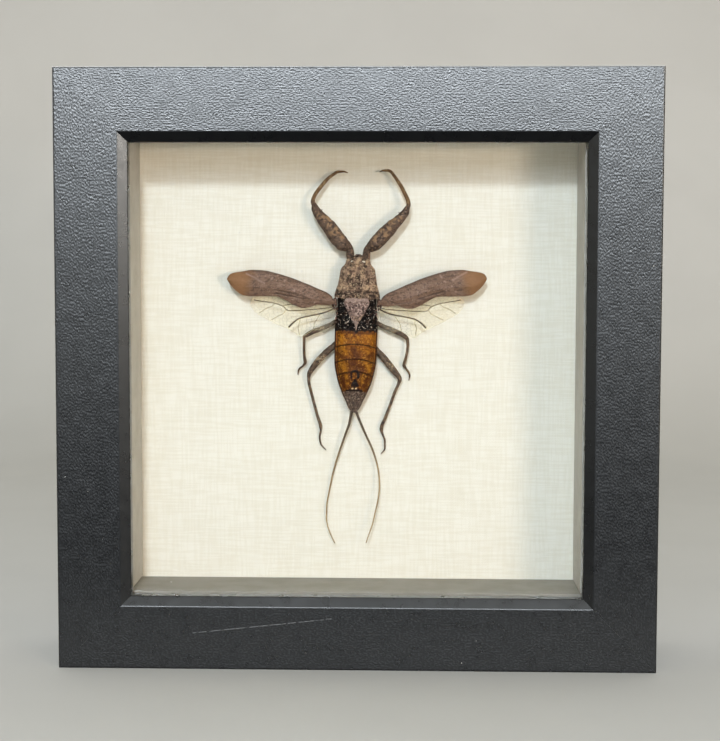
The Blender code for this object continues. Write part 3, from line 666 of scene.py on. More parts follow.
# Chitin of the walking legs: the same brown, more even
WALKING_CHITIN = Finish("walking_leg_chitin", "#564538", 0.6, (
    Tint("#281e19", 0.8, Grain(0.9, 0.48, 0.62)),
    Tint("#8b735a", 0.7, Grain(0.6, 0.54, 0.66, seed=4.0)),
    Tint("#745b3e", 0.6, Grain(1.2, 0.4, 0.65, seed=6.0), mask="shin"),
    Tint("#bea684", 0.85, Grain(0.5, 0.5, 0.6, seed=8.0), mask="pale"),
), (Relief(Grain(0.35, 0.3, 0.7), 0.04),), rough_grain=Grain(0.6, 0.3, 0.7), rough_spread=0.08, shine=0.15)

# Leathery forewing: brown, darker along its front edge, with painted shade along its fold creases, redder
# towards its tip, finely grained
LEATHERY_WING = Finish("leathery_forewing", "#715848", 0.55, (
    Tint("#8a6f60", 0.55, Grain(1.2, 0.45, 0.62, stretch=(2.5, 1.0, 1.0))),
    Tint("#42312a", 0.65, Grain(0.6, 0.5, 0.64, stretch=(2.0, 1.0, 1.0), seed=5.0)),
    Tint("#33261f", 0.45, Grain(0.32, 0.54, 0.66, stretch=(1.6, 1.0, 1.0), seed=12.0)),
    Tint("#a08878", 0.6, Grain(0.36, 0.6, 0.68, seed=2.0)),
    Tint("#86603f", 0.85, mask="tip"),
    # dark: the front edge's own darker colour, plus painted shade along the fold creases
    Tint("#2f231d", 0.8, mask="dark"),
    Tint("#a3877a", 0.65, mask="pale"),
), (Relief(Grain(0.3, 0.3, 0.7, stretch=(2.0, 1.0, 1.0)), 0.02),), rough_grain=Grain(1.0, 0.3, 0.7),
    rough_spread=0.08, shine=0.1)

# Hindwing film: nearly clear, a little yellow, with a net of tan veins about a millimetre apart
VEIN_NET = Grain(0.9, 0.05, 0.02, pattern=Pattern.NET, stretch=(1.35, 1.0, 0.85))
FILM = WingMembrane("hindwing_film", "#fdf0c2", 0.4, (
    Tint("#5f4222", 0.95, VEIN_NET),
    Tint("#b4853c", 0.8, mask="amber"),
    Tint("#6f6b64", 0.85, mask="fold"),
), (Relief(Grain(0.5, 0.3, 0.7), 0.006),), shine=0.1, film=0.03, vein=VEIN_NET, vein_solid=0.3)

# Main veins of the hindwing: dark brown rods
WING_VEIN = Finish("hindwing_vein", "#24170f", 0.5, (Tint("#4d3622", 0.6, Grain(1.2, 0.45, 0.62)),),
                   (Relief(Grain(0.2, 0.3, 0.7), 0.01),), shine=0.2)

# Tail tubes: horny, dark at the root and straw-coloured at the tip
TUBE_HORN = Finish("tail_tube_horn", "#a8916c", 0.5, (
    Tint("#7a6346", 0.6, Grain(1.6, 0.42, 0.66, stretch=(1.0, 1.0, 3.0))),
    Tint("#2e2119", 0.92, mask="dark"),
), (Relief(Grain(0.3, 0.3, 0.7, stretch=(1.0, 1.0, 5.0)), 0.012),), shine=0.2)

# Seamless pale paper sweep under and behind the frame
SWEEP_PAPER = Finish("pale_sweep_paper", "#c2c0bc", 0.8, (Tint("#bcbab6", 0.5, Grain(60.0, 0.35, 0.7)),),
                     (Relief(Grain(1.5, 0.3, 0.7), 0.01),))

# Black cloth of the flag that keeps the room out of the glass
FLAG_CLOTH = Finish("black_flag_cloth", "#050505", 0.95, (Tint("#0b0b0b", 0.5, Grain(2.0, 0.4, 0.6)),),
                    (Relief(Grain(1.0, 0.3, 0.7), 0.05),), shine=0.1)


# Pieces in general

@dataclass
class SpecimenAxes:
    """Where the insect lies: its own axes are right, into the paper, and towards its head. Sizes in mm."""

    origin: tuple[float, float, float] = (-0.5, 7.4, 94.2)
    lean: float = 1.6
    hinge: tuple[float, float] = (6.0, -0.5)
    swing: float = 2.2

    def body(self) -> Matrix:
        """The insect's own axes."""
        return Matrix.Translation(Vector(self.origin) * MM) @ Matrix.Rotation(math.radians(self.lean), 4, "Y")

    def wing(self, side: int) -> Matrix:
        """The axes of the wings of one side, turned about their hinge.

        Args:
            side: LEFT or RIGHT.

        Returns:
            The matrix that sets such a wing in place.
        """
        hinge = Vector((side * self.hinge[0], 0, self.hinge[1])) * MM
        turn = Matrix.Rotation(-math.radians(self.swing), 4, "Y")
        return self.body() @ Matrix.Translation(hinge) @ turn @ Matrix.Translation(-hinge)


AXES = SpecimenAxes()


def show(name: str, data: bpy.types.ID) -> bpy.types.Object:
    """Put an object with this mesh, lamp or camera in the scene."""
    thing = bpy.data.objects.new(name, data)
    bpy.context.scene.collection.objects.link(thing)
    return thing


def place_piece(name: str, mesh: bpy.types.Mesh, finish: Finish, stands_for: Sequence[str] = (),
                matrix: Matrix | None = None) -> None:
    """Set a finished piece in its place on the part.

    Args:
        name: The piece's name.
        mesh: Its shape.
        finish: Its surface.
        stands_for: The solids that it is shown in place of.
        matrix: Where its own axes lie, if they aren't the insect's.
    """
    piece = show(name, mesh)
    piece.matrix_world = matrix or AXES.body()
    mesh.materials.append(FINISHED.get(finish))
    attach(piece, BODY)
    if stands_for:
        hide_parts(*stands_for)
    LOG.info("%s: %d faces", name, len(mesh.polygons))


@dataclass
class FinishShelf:
    """Each finish's material, made once."""

    made: dict[str, bpy.types.Material] = field(default_factory=dict)

    def get(self, finish: Finish) -> bpy.types.Material:
        """Give a finish's material.

        Args:
            finish: The surface that is wanted.

        Returns:
            Its material.
        """
        if finish.name not in self.made:
            self.made[finish.name] = finish.material()
        return self.made[finish.name]

    def coat(self, node: str, finish: Finish) -> None:
        """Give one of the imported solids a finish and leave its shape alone."""
        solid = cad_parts[node]
        solid.data.materials.clear()
        solid.data.materials.append(self.get(finish))
        LOG.info("%s: %s", node, finish.name)


FINISHED = FinishShelf()


# The frame and what lies in it

@dataclass
class ShadowBoxFrame:
    """Four mitred rails of moulding with a chamfer round the opening. Sizes in mm."""

    side: float = 152.4
    depth: float = 34.0
    face: float = 16.1
    chamfer_width: float = 2.6
    chamfer_drop: float = 1.2
    lip_depth: float = 4.0
    rabbet: float = 5.2
    arris: float = 0.5
    back_arris: float = 0.2
    rabbet_arris: float = 0.1
    lip_arris: float = 0.15
    crisp_edge: float = 0.22
    flat_guard: float = 0.12
    mitre_gap: float = 0.008
    front: float = -18.1
    scratched_depth: float = 1.0
    sharp_from_degrees: float = 40.0
    rows: int = 61
    corner_steps: int = 6

    def section(self) -> np.ndarray:
        """Round the corners of the moulding's section.

        Returns:
            Depth behind the front and distance from the frame's middle, for each point.
        """
        half = self.side / 2
        sight = half - self.face - self.chamfer_width
        corners = (
            (0, half, self.arris), (self.depth, half, self.arris),
            (self.depth, sight + self.rabbet, self.back_arris),
            (self.lip_depth, sight + self.rabbet, self.rabbet_arris), (self.lip_depth, sight, self.lip_arris),
            (self.chamfer_drop, sight, self.crisp_edge), (0, sight + self.chamfer_width, self.crisp_edge),
        )
        spots = [Vector(corner[:2]) for corner in corners]
        points = []
        for index, (_, _, radius) in enumerate(corners):
            here = spots[index]
            back = (spots[index - 1] - here).normalized()
            on = (spots[(index + 1) % len(spots)] - here).normalized()
            start, end = here + back * radius, here + on * radius
            points.append(start + back * self.flat_guard)
            for step in range(self.corner_steps + 1):
                t = step / self.corner_steps
                points.append((1 - t) ** 2 * start + 2 * t * (1 - t) * here + t * t * end)
            points.append(end + on * self.flat_guard)
        return np.array(points)

    def rail(self) -> bpy.types.Mesh:
        """The lower rail about the frame's middle, mitred at both ends.

        Returns:
            Its mesh.
        """
        depth, reach = self.section().T
        spread = np.linspace(-1, 1, self.rows)[:, None]
        x = spread * (reach - self.mitre_gap)
        grid = np.stack([x, np.broadcast_to(depth, x.shape), np.broadcast_to(-reach, x.shape)], axis=-1)
        outside = (depth < TINY) | (reach > self.side / 2 - TINY)
        masks = {"grained": outside, "front": depth < self.scratched_depth}
        mesh = skin("rail", grid, {
            key: np.broadcast_to(mask.astype(float), x.shape) for key, mask in masks.items()})
        mesh.set_sharp_from_angle(angle=math.radians(self.sharp_from_degrees))
        return mesh

    def build(self) -> None:
        """Set the four rails in place, the lower one with its scratches."""
        mesh = self.rail()
        centre = Matrix.Translation((0, self.front * MM, self.side / 2 * MM))
        for quarter, side in enumerate(("bottom", "left", "top", "right")):
            finish = SCRATCHED_LACQUER if side == "bottom" else BLACK_LACQUER
            turn = Matrix.Rotation(quarter * math.pi / 2, 4, "Y")
            place_piece(f"moulding_{side}", mesh.copy(), finish, [f"rail_{side}"],
                        centre @ turn)


@dataclass
class BoxLining:
    """Glass, card walls, paper, board and the metal on the back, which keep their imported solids."""

    plain: tuple[tuple[str, Finish], ...] = (
        ("glass_pane", PICTURE_GLASS), ("linen_paper", LINEN_PAPER), ("backing_board", HARDBOARD),
        ("sawtooth_hanger", ZINC_STEEL), ("hanger_nail_left", BRASS), ("hanger_nail_right", BRASS),
        ("glue_dab", GLUE),
    )
    four_sided: tuple[tuple[str, Finish, Finish], ...] = (
        ("wall_", CARD, DARKER_LOWER_CARD), ("tab_", ZINC_STEEL, ZINC_STEEL))

    def build(self) -> None:
        """Give each solid its finish."""
        for node, finish in self.plain:
            FINISHED.coat(node, finish)
        for prefix, finish, low_finish in self.four_sided:
            for side in ("top", "left", "right"):
                FINISHED.coat(prefix + side, finish)
            FINISHED.coat(prefix + "bottom", low_finish)


# The insect

@dataclass
class BackShell:
    """A stretch of the body: a domed back over a shallow belly, in mm along the body and above the paper."""

    name: str
    start: float
    end: float
    half: Profile
    top: Profile
    edge: Profile
    belly: Profile
    relief: Relieve
    dome: float = 2.6
    step: float = 0.14
    across: int = 72
    under: int = 14
    bow: Profile = ((-40.0, 0.0), (40.0, 0.0))
    rim_fade: float = 0.08
    belly_reach: float = 0.97
    belly_dome: float = 2.2

    def spread(self) -> np.ndarray:
        """How far out each point of a row of the back lies, from -1 to 1, closer together at the rims."""
        return np.sin(np.linspace(-1, 1, self.across) * math.pi / 2)[None, :]

    def surface(self) -> tuple[np.ndarray, np.ndarray, np.ndarray]:
        """Lay out the back's points.

        Returns:
            Place of each row along the body, and for each point its distance out and its place along.
        """
        count = max(int(abs(self.end - self.start) / self.step), 4)
        rows = np.linspace(self.start, self.end, count)[:, None]
        share = self.spread()
        spot = rows - along(self.bow, rows) * share ** 2
        return rows, share * along(self.half, spot), spot

    def mesh(self, masks: Mapping[str, np.ndarray] | None = None) -> bpy.types.Mesh:
        """Build the shell.

        Args:
            masks: Named values for the points of the back.

        Returns:
            The closed mesh.
        """
        rows, u, v = self.surface()
        share = self.spread()
        rim = along(self.edge, rows)
        height = rim + (along(self.top, rows) - rim) * (1 - np.abs(share) ** self.dome)
        height = height + self.relief(u, v, rows) * ramp(1 - np.abs(share), 0.0, self.rim_fade)
        back = np.stack([u, -height, v], axis=-1)
        low = np.linspace(self.belly_reach, -self.belly_reach, self.under)[None, :]
        low_v = rows - along(self.bow, rows) * low ** 2
        floor = along(self.belly, rows)
        low_height = floor + (rim - floor) * np.abs(low) ** self.belly_dome
        belly = np.stack([low * along(self.half, low_v), -low_height, low_v], axis=-1)
        padded = {label: np.concatenate([values, np.zeros(belly.shape[:2])], axis=1)
                  for label, values in (masks or {}).items()}
        return skin(self.name, np.concatenate([back, belly], axis=1), padded)


# Heights above the paper, from the tail to the head, in mm: of the back's rims, of the belly and of the ridge
EDGE: Profile = ((-30.2, 3.1), (-24.0, 3.8), (-8.0, 4.2), (2.0, 4.4), (9.0, 4.5), (9.1, 4.4), (11.7, 4.2))
BELLY: Profile = ((-30.2, 2.7), (-24.0, 2.6), (-10.0, 1.9), (-3.0, 1.5), (4.0, 1.9), (9.0, 3.2), (9.1, 3.7),
                  (11.7, 4.0))
TOP: Profile = ((-30.2, 3.5), (-24.6, 4.8), (-19.0, 5.4), (-12.0, 5.7), (-8.0, 5.6), (-5.0, 5.9), (0.2, 6.0))


@dataclass
class NeckShield:
    """The broad shield behind the head, rough as dried mud, and the head in front of it. Sizes in mm."""

    half: Profile = ((-0.3, 5.85), (0.0, 5.97), (0.5, 6.0), (2.1, 5.65), (3.7, 5.15), (6.8, 4.65), (7.6, 4.5),
                     (8.2, 4.15), (8.7, 3.65), (9.2, 3.35), (9.8, 3.2), (10.3, 2.95), (10.6, 2.4))
    top: Profile = ((-0.3, 6.45), (0.0, 6.5), (2.0, 6.7), (6.0, 6.4), (9.05, 5.9), (9.8, 5.5), (10.6, 4.7))
    head_half: Profile = ((9.2, 1.5), (10.2, 1.5), (10.8, 1.3), (11.4, 0.95), (11.7, 0.5))
    head_top: Profile = ((9.2, 6.0), (10.2, 5.6), (11.0, 5.1), (11.7, 4.4))
    eye_radii: tuple[float, float, float] = (0.5, 0.3, 0.25)
    eye_place: tuple[float, float, float] = (1.42, 9.72, 5.45)
    bow: Profile = ((-0.3, -0.55), (1.2, -0.5), (4.0, 0.0), (10.6, 0.0))
    dark: tuple[Stroke, ...] = (
        (((-5.2, 1.3), (-1.9, 1.1), (2.9, 1.2), (5.4, 1.1)), 0.65, 0.5),
        (((0.0, 3.9), (0.1, 5.8)), 0.45, 0.5), (((-0.9, 3.6), (0.9, 4.2)), 0.4, 0.4),
        (((-1.5, 9.35), (-1.3, 9.1)), 0.3, 0.3), (((1.5, 9.3), (1.9, 8.6)), 0.4, 0.35),
        (((-1.0, 10.4), (-2.0, 10.6)), 0.3, 0.3), (((1.0, 10.3), (1.9, 10.6)), 0.3, 0.3),
        (((-1.9, 8.6), (-1.3, 8.4)), 0.15, 0.3), (((2.6, 4.4), (3.4, 5.0)), 0.35, 0.4),
        (((-5.6, -0.25), (5.6, -0.25)), 0.1, 0.4), (((-2.6, 5.0), (-2.2, 6.0)), 0.15, 0.5),
    )
    pale: tuple[Stroke, ...] = (
        (((-4.7, 2.7), (-1.6, 3.05)), 0.4, 0.5), (((2.2, 3.1), (4.8, 2.95)), 0.5, 0.5),
        (((3.45, 5.95), (3.6, 5.85)), 0.16, 0.2), (((-2.2, 5.6), (-2.6, 6.8)), 0.15, 0.5),
        (((0.9, 7.4), (1.5, 5.6)), 0.15, 0.45), (((-0.6, 8.4), (0.2, 8.9)), 0.15, 0.5),
        (((-2.9, 9.6), (-2.6, 10.3)), 0.3, 0.5), (((2.5, 9.4), (2.7, 10.4)), 0.3, 0.5),
        (((-0.5, 9.4), (0.5, 9.5)), 0.1, 0.4), (((4.3, 7.0), (4.1, 8.0)), 0.1, 0.4),
    )
    head_dark: Stroke = (((-1.0, 11.4), (-0.3, 11.0), (0.1, 11.6), (0.7, 11.3)), 0.12, 0.3)
    head_pale: Stroke = (((-0.4, 9.4), (0.3, 10.3)), 0.2, 0.4)

    def relief(self, u: np.ndarray, v: np.ndarray, rows: np.ndarray) -> np.ndarray:
        """Ridges, groove, shoulder humps and grains of the shield."""
        ridges = 0.3 * hump(np.abs(u), 1.35, 0.45) * ramp(v, 3.2, 4.6)
        furrow = -0.25 * hump(u, 0.0, 0.5) * ramp(v, 3.4, 4.4)
        groove = -0.3 * hump(v + 0.04 * u * u, 2.1, 0.4)
        humps = 0.3 * hump(np.abs(u), 4.4, 0.9) * hump(v, 1.2, 1.0)
        cheeks = 0.25 * hump(np.abs(u), 3.0, 0.8) * hump(v, 6.6, 1.6)
        grains = 0.2 * rumple(u, v, 0.9, 1.7, 3) + 0.12 * rumple(u, v, 0.4, 4.2)
        return ridges + furrow + groove + humps + cheeks + grains

    def head_relief(self, u: np.ndarray, v: np.ndarray, rows: np.ndarray) -> np.ndarray:
        """Keel and grains of the head."""
        return 0.2 * hump(u, 0.0, 0.35) + 0.08 * rumple(u, v, 0.4, 2.6)

    def build(self) -> None:
        """Build the shield, the head and the two eyes."""
        shield = BackShell("neck_shield", -0.3, 10.6, self.half, self.top, EDGE, BELLY, self.relief,
                           bow=self.bow)
        _, u, v = shield.surface()
        dark = strokes(u, v, self.dark) * ramp(rumple(u, v, 0.8, 3.1), -0.6, 0.3)
        pale = strokes(u, v, self.pale) * ramp(rumple(u, v, 0.6, 5.3), -0.5, 0.4)
        place_piece("neck_shield", shield.mesh({"dark": dark, "pale": pale}), SHIELD_CHITIN,
                    ["body"])
        head = BackShell("head", 9.2, 11.7, self.head_half, self.head_top, EDGE, BELLY, self.head_relief,
                         across=40, step=0.1)
        _, u, v = head.surface()
        masks = {"dark": strokes(u, v, (self.head_dark,)), "pale": strokes(u, v, (self.head_pale,))}
        place_piece("head", head.mesh(masks), SHIELD_CHITIN)
        out, place, height = self.eye_place
        for side, label in SIDES:
            # each eye's pale colour is a painted highlight of the lamps
            eye = ball(f"eye_{label}", (side * out, -height, place), self.eye_radii)
            place_piece(f"eye_{label}", eye, PAINTED_EYE_GLINT)


@dataclass
class Thorax:
    """The black middle of the body, the triangular plate on it and the wing hinges. Sizes in mm."""

    half: Profile = ((-8.15, 5.55), (-7.6, 5.65), (-6.3, 5.6), (-4.3, 5.3), (-1.7, 5.1), (0.4, 5.1))
    plate_half: Profile = ((-8.25, 0.08), (-7.2, 0.3), (-6.2, 0.75), (-5.6, 1.1), (-4.6, 1.7), (-3.0, 2.55),
                           (-1.5, 3.2), (-0.9, 3.3), (-0.3, 3.15), (0.15, 2.8))
    plate_top: Profile = ((-8.25, 6.2), (-6.0, 6.6), (-3.0, 6.8), (-1.0, 6.75), (0.15, 6.5))
    plate_edge: Profile = ((-8.25, 5.95), (-6.4, 6.3), (-4.0, 6.4), (0.15, 6.35))
    plate_under: Profile = ((-8.25, 5.4), (0.15, 5.4))
    knots: tuple[tuple[float, float, float, float], ...] = (
        (5.75, -0.6, 4.9, 0.62), (6.35, -0.95, 4.95, 0.6), (6.95, -0.85, 5.0, 0.45), (5.6, -1.6, 4.9, 0.5),
        (6.3, -1.9, 4.85, 0.38), (5.2, -2.8, 4.9, 0.36), (5.2, -3.9, 4.8, 0.32), (5.35, -5.3, 4.7, 0.34),
        (5.5, -6.6, 4.6, 0.28), (5.8, -2.7, 4.75, 0.3),
    )
    knot_shape: tuple[float, float, float] = (0.8, 1.0, 1.3)
    pale: tuple[Stroke, ...] = (
        (((-2.9, -0.35), (2.9, -0.25)), 0.2, 0.45), (((-0.2, -6.0), (0.2, -7.4)), 0.15, 0.4),
    )

    def relief(self, u: np.ndarray, v: np.ndarray, rows: np.ndarray) -> np.ndarray:
        """Crumpled folds."""
        return 0.4 * rumple(u, v, 1.1, 2.2, 3) + 0.22 * rumple(u, v, 0.5, 6.1)

    def plate_relief(self, u: np.ndarray, v: np.ndarray, rows: np.ndarray) -> np.ndarray:
        """Raised margins, a faint keel and grains."""
        half = along(self.plate_half, rows)
        margin = 0.12 * ramp(np.abs(u) / half, 0.6, 0.9)
        keel = 0.12 * hump(u, 0.0, 0.5) * ramp(v, -2.0, -4.0)
        return margin + keel + 0.06 * rumple(u, v, 0.5, 8.4, 3)

    def build(self) -> None:
        """Build the thorax, the plate and the hinges."""
        thorax = BackShell("thorax", -8.15, 0.4, self.half, TOP, EDGE, BELLY, self.relief, dome=4.0)
        place_piece("thorax", thorax.mesh(), BLACK_CHITIN_PAINTED_GLINTS)
        plate = BackShell("triangular_plate", -8.25, 0.15, self.plate_half, self.plate_top, self.plate_edge,
                          self.plate_under, self.plate_relief, across=48, step=0.12, dome=3.0)
        _, u, v = plate.surface()
        masks = {"pale": strokes(u, v, self.pale), "tan": ramp(v, -3.6, -5.6)}
        place_piece("triangular_plate", plate.mesh(masks), PLATE_CHITIN)
        for side, label in SIDES:
            name = f"wing_hinge_{label}"
            lumps = []
            for out, place, height, size in self.knots:
                radii = tuple(size * share for share in self.knot_shape)
                lumps.append(ball("knot", (side * out, -height, place), radii))
            place_piece(name, joined(name, lumps), HINGE_SKIN)


@dataclass
class Abdomen:
    """The bare amber abdomen in overlapping segments, with its dark mark and grey end plate. Sizes in mm."""

    half: Profile = ((-30.25, 0.35), (-29.6, 1.15), (-28.3, 1.85), (-27.0, 2.4), (-25.7, 3.05), (-24.4, 3.6),
                     (-22.0, 4.5), (-19.8, 5.05), (-18.0, 5.4), (-16.0, 5.55), (-11.0, 5.6), (-8.0, 5.65))
    bow: Profile = ((-30.2, 0.0), (-24.4, 0.35), (-20.5, 1.3), (-12.0, 1.0), (-8.2, 0.0))
    segment_edges: tuple[float, ...] = (-11.9, -15.8, -19.2, -24.4)
    step_height: float = 0.16
    rim_width: float = 0.75
    mark: tuple[Stroke, ...] = (
        (((-0.95, -19.65), (-0.6, -19.2), (0.1, -19.0), (0.7, -19.1)), 0.2, 0.2),
        (((0.75, -19.4), (0.95, -19.9), (0.9, -20.7)), 0.3, 0.2),
        (((-0.85, -19.5), (-0.95, -20.3), (-0.8, -21.0)), 0.1, 0.22),
        (((0.1, -21.45), (-0.65, -22.95), (0.85, -22.95), (0.1, -21.45), (0.1, -22.9)), 0.26, 0.14),
        (((-2.1, -24.4), (2.0, -24.3)), 0.2, 0.2), (((-1.0, -23.9), (-1.4, -24.3)), 0.12, 0.2),
        (((0.9, -23.9), (1.3, -24.3)), 0.12, 0.2), (((-0.05, -23.4), (-0.02, -24.2)), 0.14, 0.15),
    )
    spots: tuple[Stroke, ...] = (
        (((-0.6, -23.76), (-0.42, -23.74)), 0.1, 0.14), (((0.34, -23.74), (0.5, -23.72)), 0.1, 0.14),
    )
    gold: tuple[Stroke, ...] = (
        (((-1.15, -9.6), (-0.35, -11.3)), 0.1, 0.35), (((0.75, -9.6), (0.2, -11.3)), 0.1, 0.35),
        (((-3.9, -9.4), (-3.4, -11.0)), 0.2, 0.8), (((3.4, -9.4), (3.5, -11.0)), 0.2, 0.8),
        (((-3.6, -16.9), (-2.7, -18.8)), 0.3, 0.9), (((3.0, -17.0), (4.0, -18.6)), 0.3, 0.9),
        (((-3.4, -13.2), (-2.2, -14.6)), 0.1, 0.8), (((2.2, -13.2), (3.4, -14.4)), 0.1, 0.8),
        (((-2.2, -20.4), (-1.9, -22.4)), 0.1, 0.6), (((2.4, -20.3), (2.2, -22.0)), 0.1, 0.6),
        (((-0.3, -20.0), (-0.3, -21.0)), 0.2, 0.2),
    )
    stains: tuple[Stroke, ...] = (
        (((-1.0, -19.8), (-0.85, -21.4)), 0.1, 0.3), (((0.75, -20.7), (0.5, -21.5)), 0.1, 0.3),
        (((-0.6, -13.4), (0.5, -15.2)), 0.3, 1.0), (((-4.4, -14.9), (-3.4, -15.4)), 0.2, 0.8),
        (((4.2, -14.6), (3.6, -15.2)), 0.2, 0.8), (((-1.0, -17.2), (1.2, -18.2)), 0.2, 0.9),
        (((-4.6, -9.0), (4.6, -9.0)), 0.1, 0.5), (((-2.6, -23.4), (-3.2, -21.0)), 0.1, 0.6),
        (((2.6, -23.2), (3.3, -21.0)), 0.1, 0.6),
    )

    def relief(self, u: np.ndarray, v: np.ndarray, rows: np.ndarray) -> np.ndarray:
        """Steps at the segments' hind edges, the rim's groove, and slight dimples."""
        height = np.zeros_like(u)
        for edge in self.segment_edges:
            ahead = rows - edge
            height = height + np.where(ahead >= 0, self.step_height * np.exp(-ahead / 1.1), 0.0)
        inwards = along(self.half, v) - np.abs(u)
        groove = -0.14 * hump(inwards, self.rim_width, 0.16)
        rim = 0.1 * hump(inwards, 0.35, 0.25)
        keel = 0.25 * hump(u, 0.0, 0.5) * ramp(rows, -24.6, -26.0)
        dimples = 0.05 * rumple(u, v, 1.1, 3.7, 3) + 0.02 * rumple(u, v, 0.4, 9.1)
        return height + groove + rim + keel + dimples

    def masks(self, u: np.ndarray, v: np.ndarray, rows: np.ndarray) -> dict[str, np.ndarray]:
        """Paint the abdomen's markings.

        Args:
            u: Distance out of each point.
            v: Place along the body of each point.
            rows: Place of each row on the body's midline.

        Returns:
            A mask for each of the markings.
        """
        rows = np.broadcast_to(rows, u.shape)
        wobble = 0.1 * rumple(u, v, 0.9, 5.5)
        line = np.zeros_like(u)
        for edge in self.segment_edges:
            line = np.maximum(line, ramp(np.abs(rows - edge + 0.12 + wobble), 0.3, 0.08))
        inwards = along(self.half, v) - np.abs(u)
        rim = ramp(inwards, 0.62, 0.12) + 0.6 * ramp(np.abs(inwards - self.rim_width), 0.22, 0.06)
        mark = strokes(u, v, self.mark)
        spot = strokes(u, v, self.spots)
        gold = strokes(u, v, self.gold) * ramp(rumple(u, v, 1.0, 7.7), -0.7, 0.35)
        stain = strokes(u, v, self.stains)
        tail = ramp(rows + 0.5 * wobble, -24.35, -24.6)
        ragged = v + 0.45 * rumple(u, v, 0.8, 2.9, 3) + 0.5 * hump(u, 0.0, 0.7)
        return {
            "deep": ramp(v, -11.0, -18.5), "line": line * (1 - tail), "rim": np.clip(rim, 0, 1) * (1 - tail),
            "mark": np.maximum(mark, ramp(ragged, -8.75, -8.5)), "spot": spot, "gold": gold, "stain": stain,
            "tail": tail,
        }

    def build(self) -> None:
        """Build the abdomen."""
        shell = BackShell("abdomen", -30.25, -7.9, self.half, TOP, EDGE, BELLY, self.relief, step=0.1,
                          across=104, bow=self.bow, dome=2.8)
        rows, u, v = shell.surface()
        place_piece("abdomen", shell.mesh(self.masks(u, v, rows)), AMBER_CHITIN)


@dataclass
class WingBlade:
    """A thin wing seen as a front and a hind edge over the distance out from the body. Sizes in mm."""

    stations: tuple[tuple[float, float, float], ...]
    height: float
    half_thickness: float
    camber: float
    step: float = 0.2
    across: int = 56

    def surface(self) -> tuple[np.ndarray, np.ndarray, np.ndarray]:
        """Lay out the blade's points.

        Returns:
            Distance out, place along the body, and share of the way from the front to the hind edge.
        """
        out = np.array([station[0] for station in self.stations])
        rows = np.arange(out[0], out[-1], self.step)
        rows = np.append(rows, out[-1])[:, None]
        front = along(tuple((s[0], s[1]) for s in self.stations), rows)
        hind = along(tuple((s[0], s[2]) for s in self.stations), rows)
        share = (1 - np.cos(np.linspace(0, 1, self.across) * math.pi))[None, :] / 2
        v = front - share * (front - hind)
        return np.broadcast_to(rows, v.shape), v, np.broadcast_to(share, v.shape)

    def mesh(self, name: str, side: int, relief: np.ndarray,
             masks: Mapping[str, np.ndarray]) -> bpy.types.Mesh:
        """Build the blade of one side.

        Args:
            name: The mesh's name.
            side: LEFT or RIGHT.
            relief: Height added to each point of both faces.
            masks: Named values for each point.

        Returns:
            The closed mesh.
        """
        u, v, share = self.surface()
        middle = self.height + self.camber * np.sin(math.pi * share) + relief
        thick = self.half_thickness * (0.25 + 0.75 * np.sin(math.pi * share) ** 0.5)
        upper = np.stack([side * u, -(middle + thick), v], axis=-1)
        lower = np.stack([side * u, -(middle - thick), v], axis=-1)[:, ::-1]
        both = {label: np.concatenate([values, values[:, ::-1]], axis=1) for label, values in masks.items()}
        return skin(name, np.concatenate([upper, lower], axis=1), both)


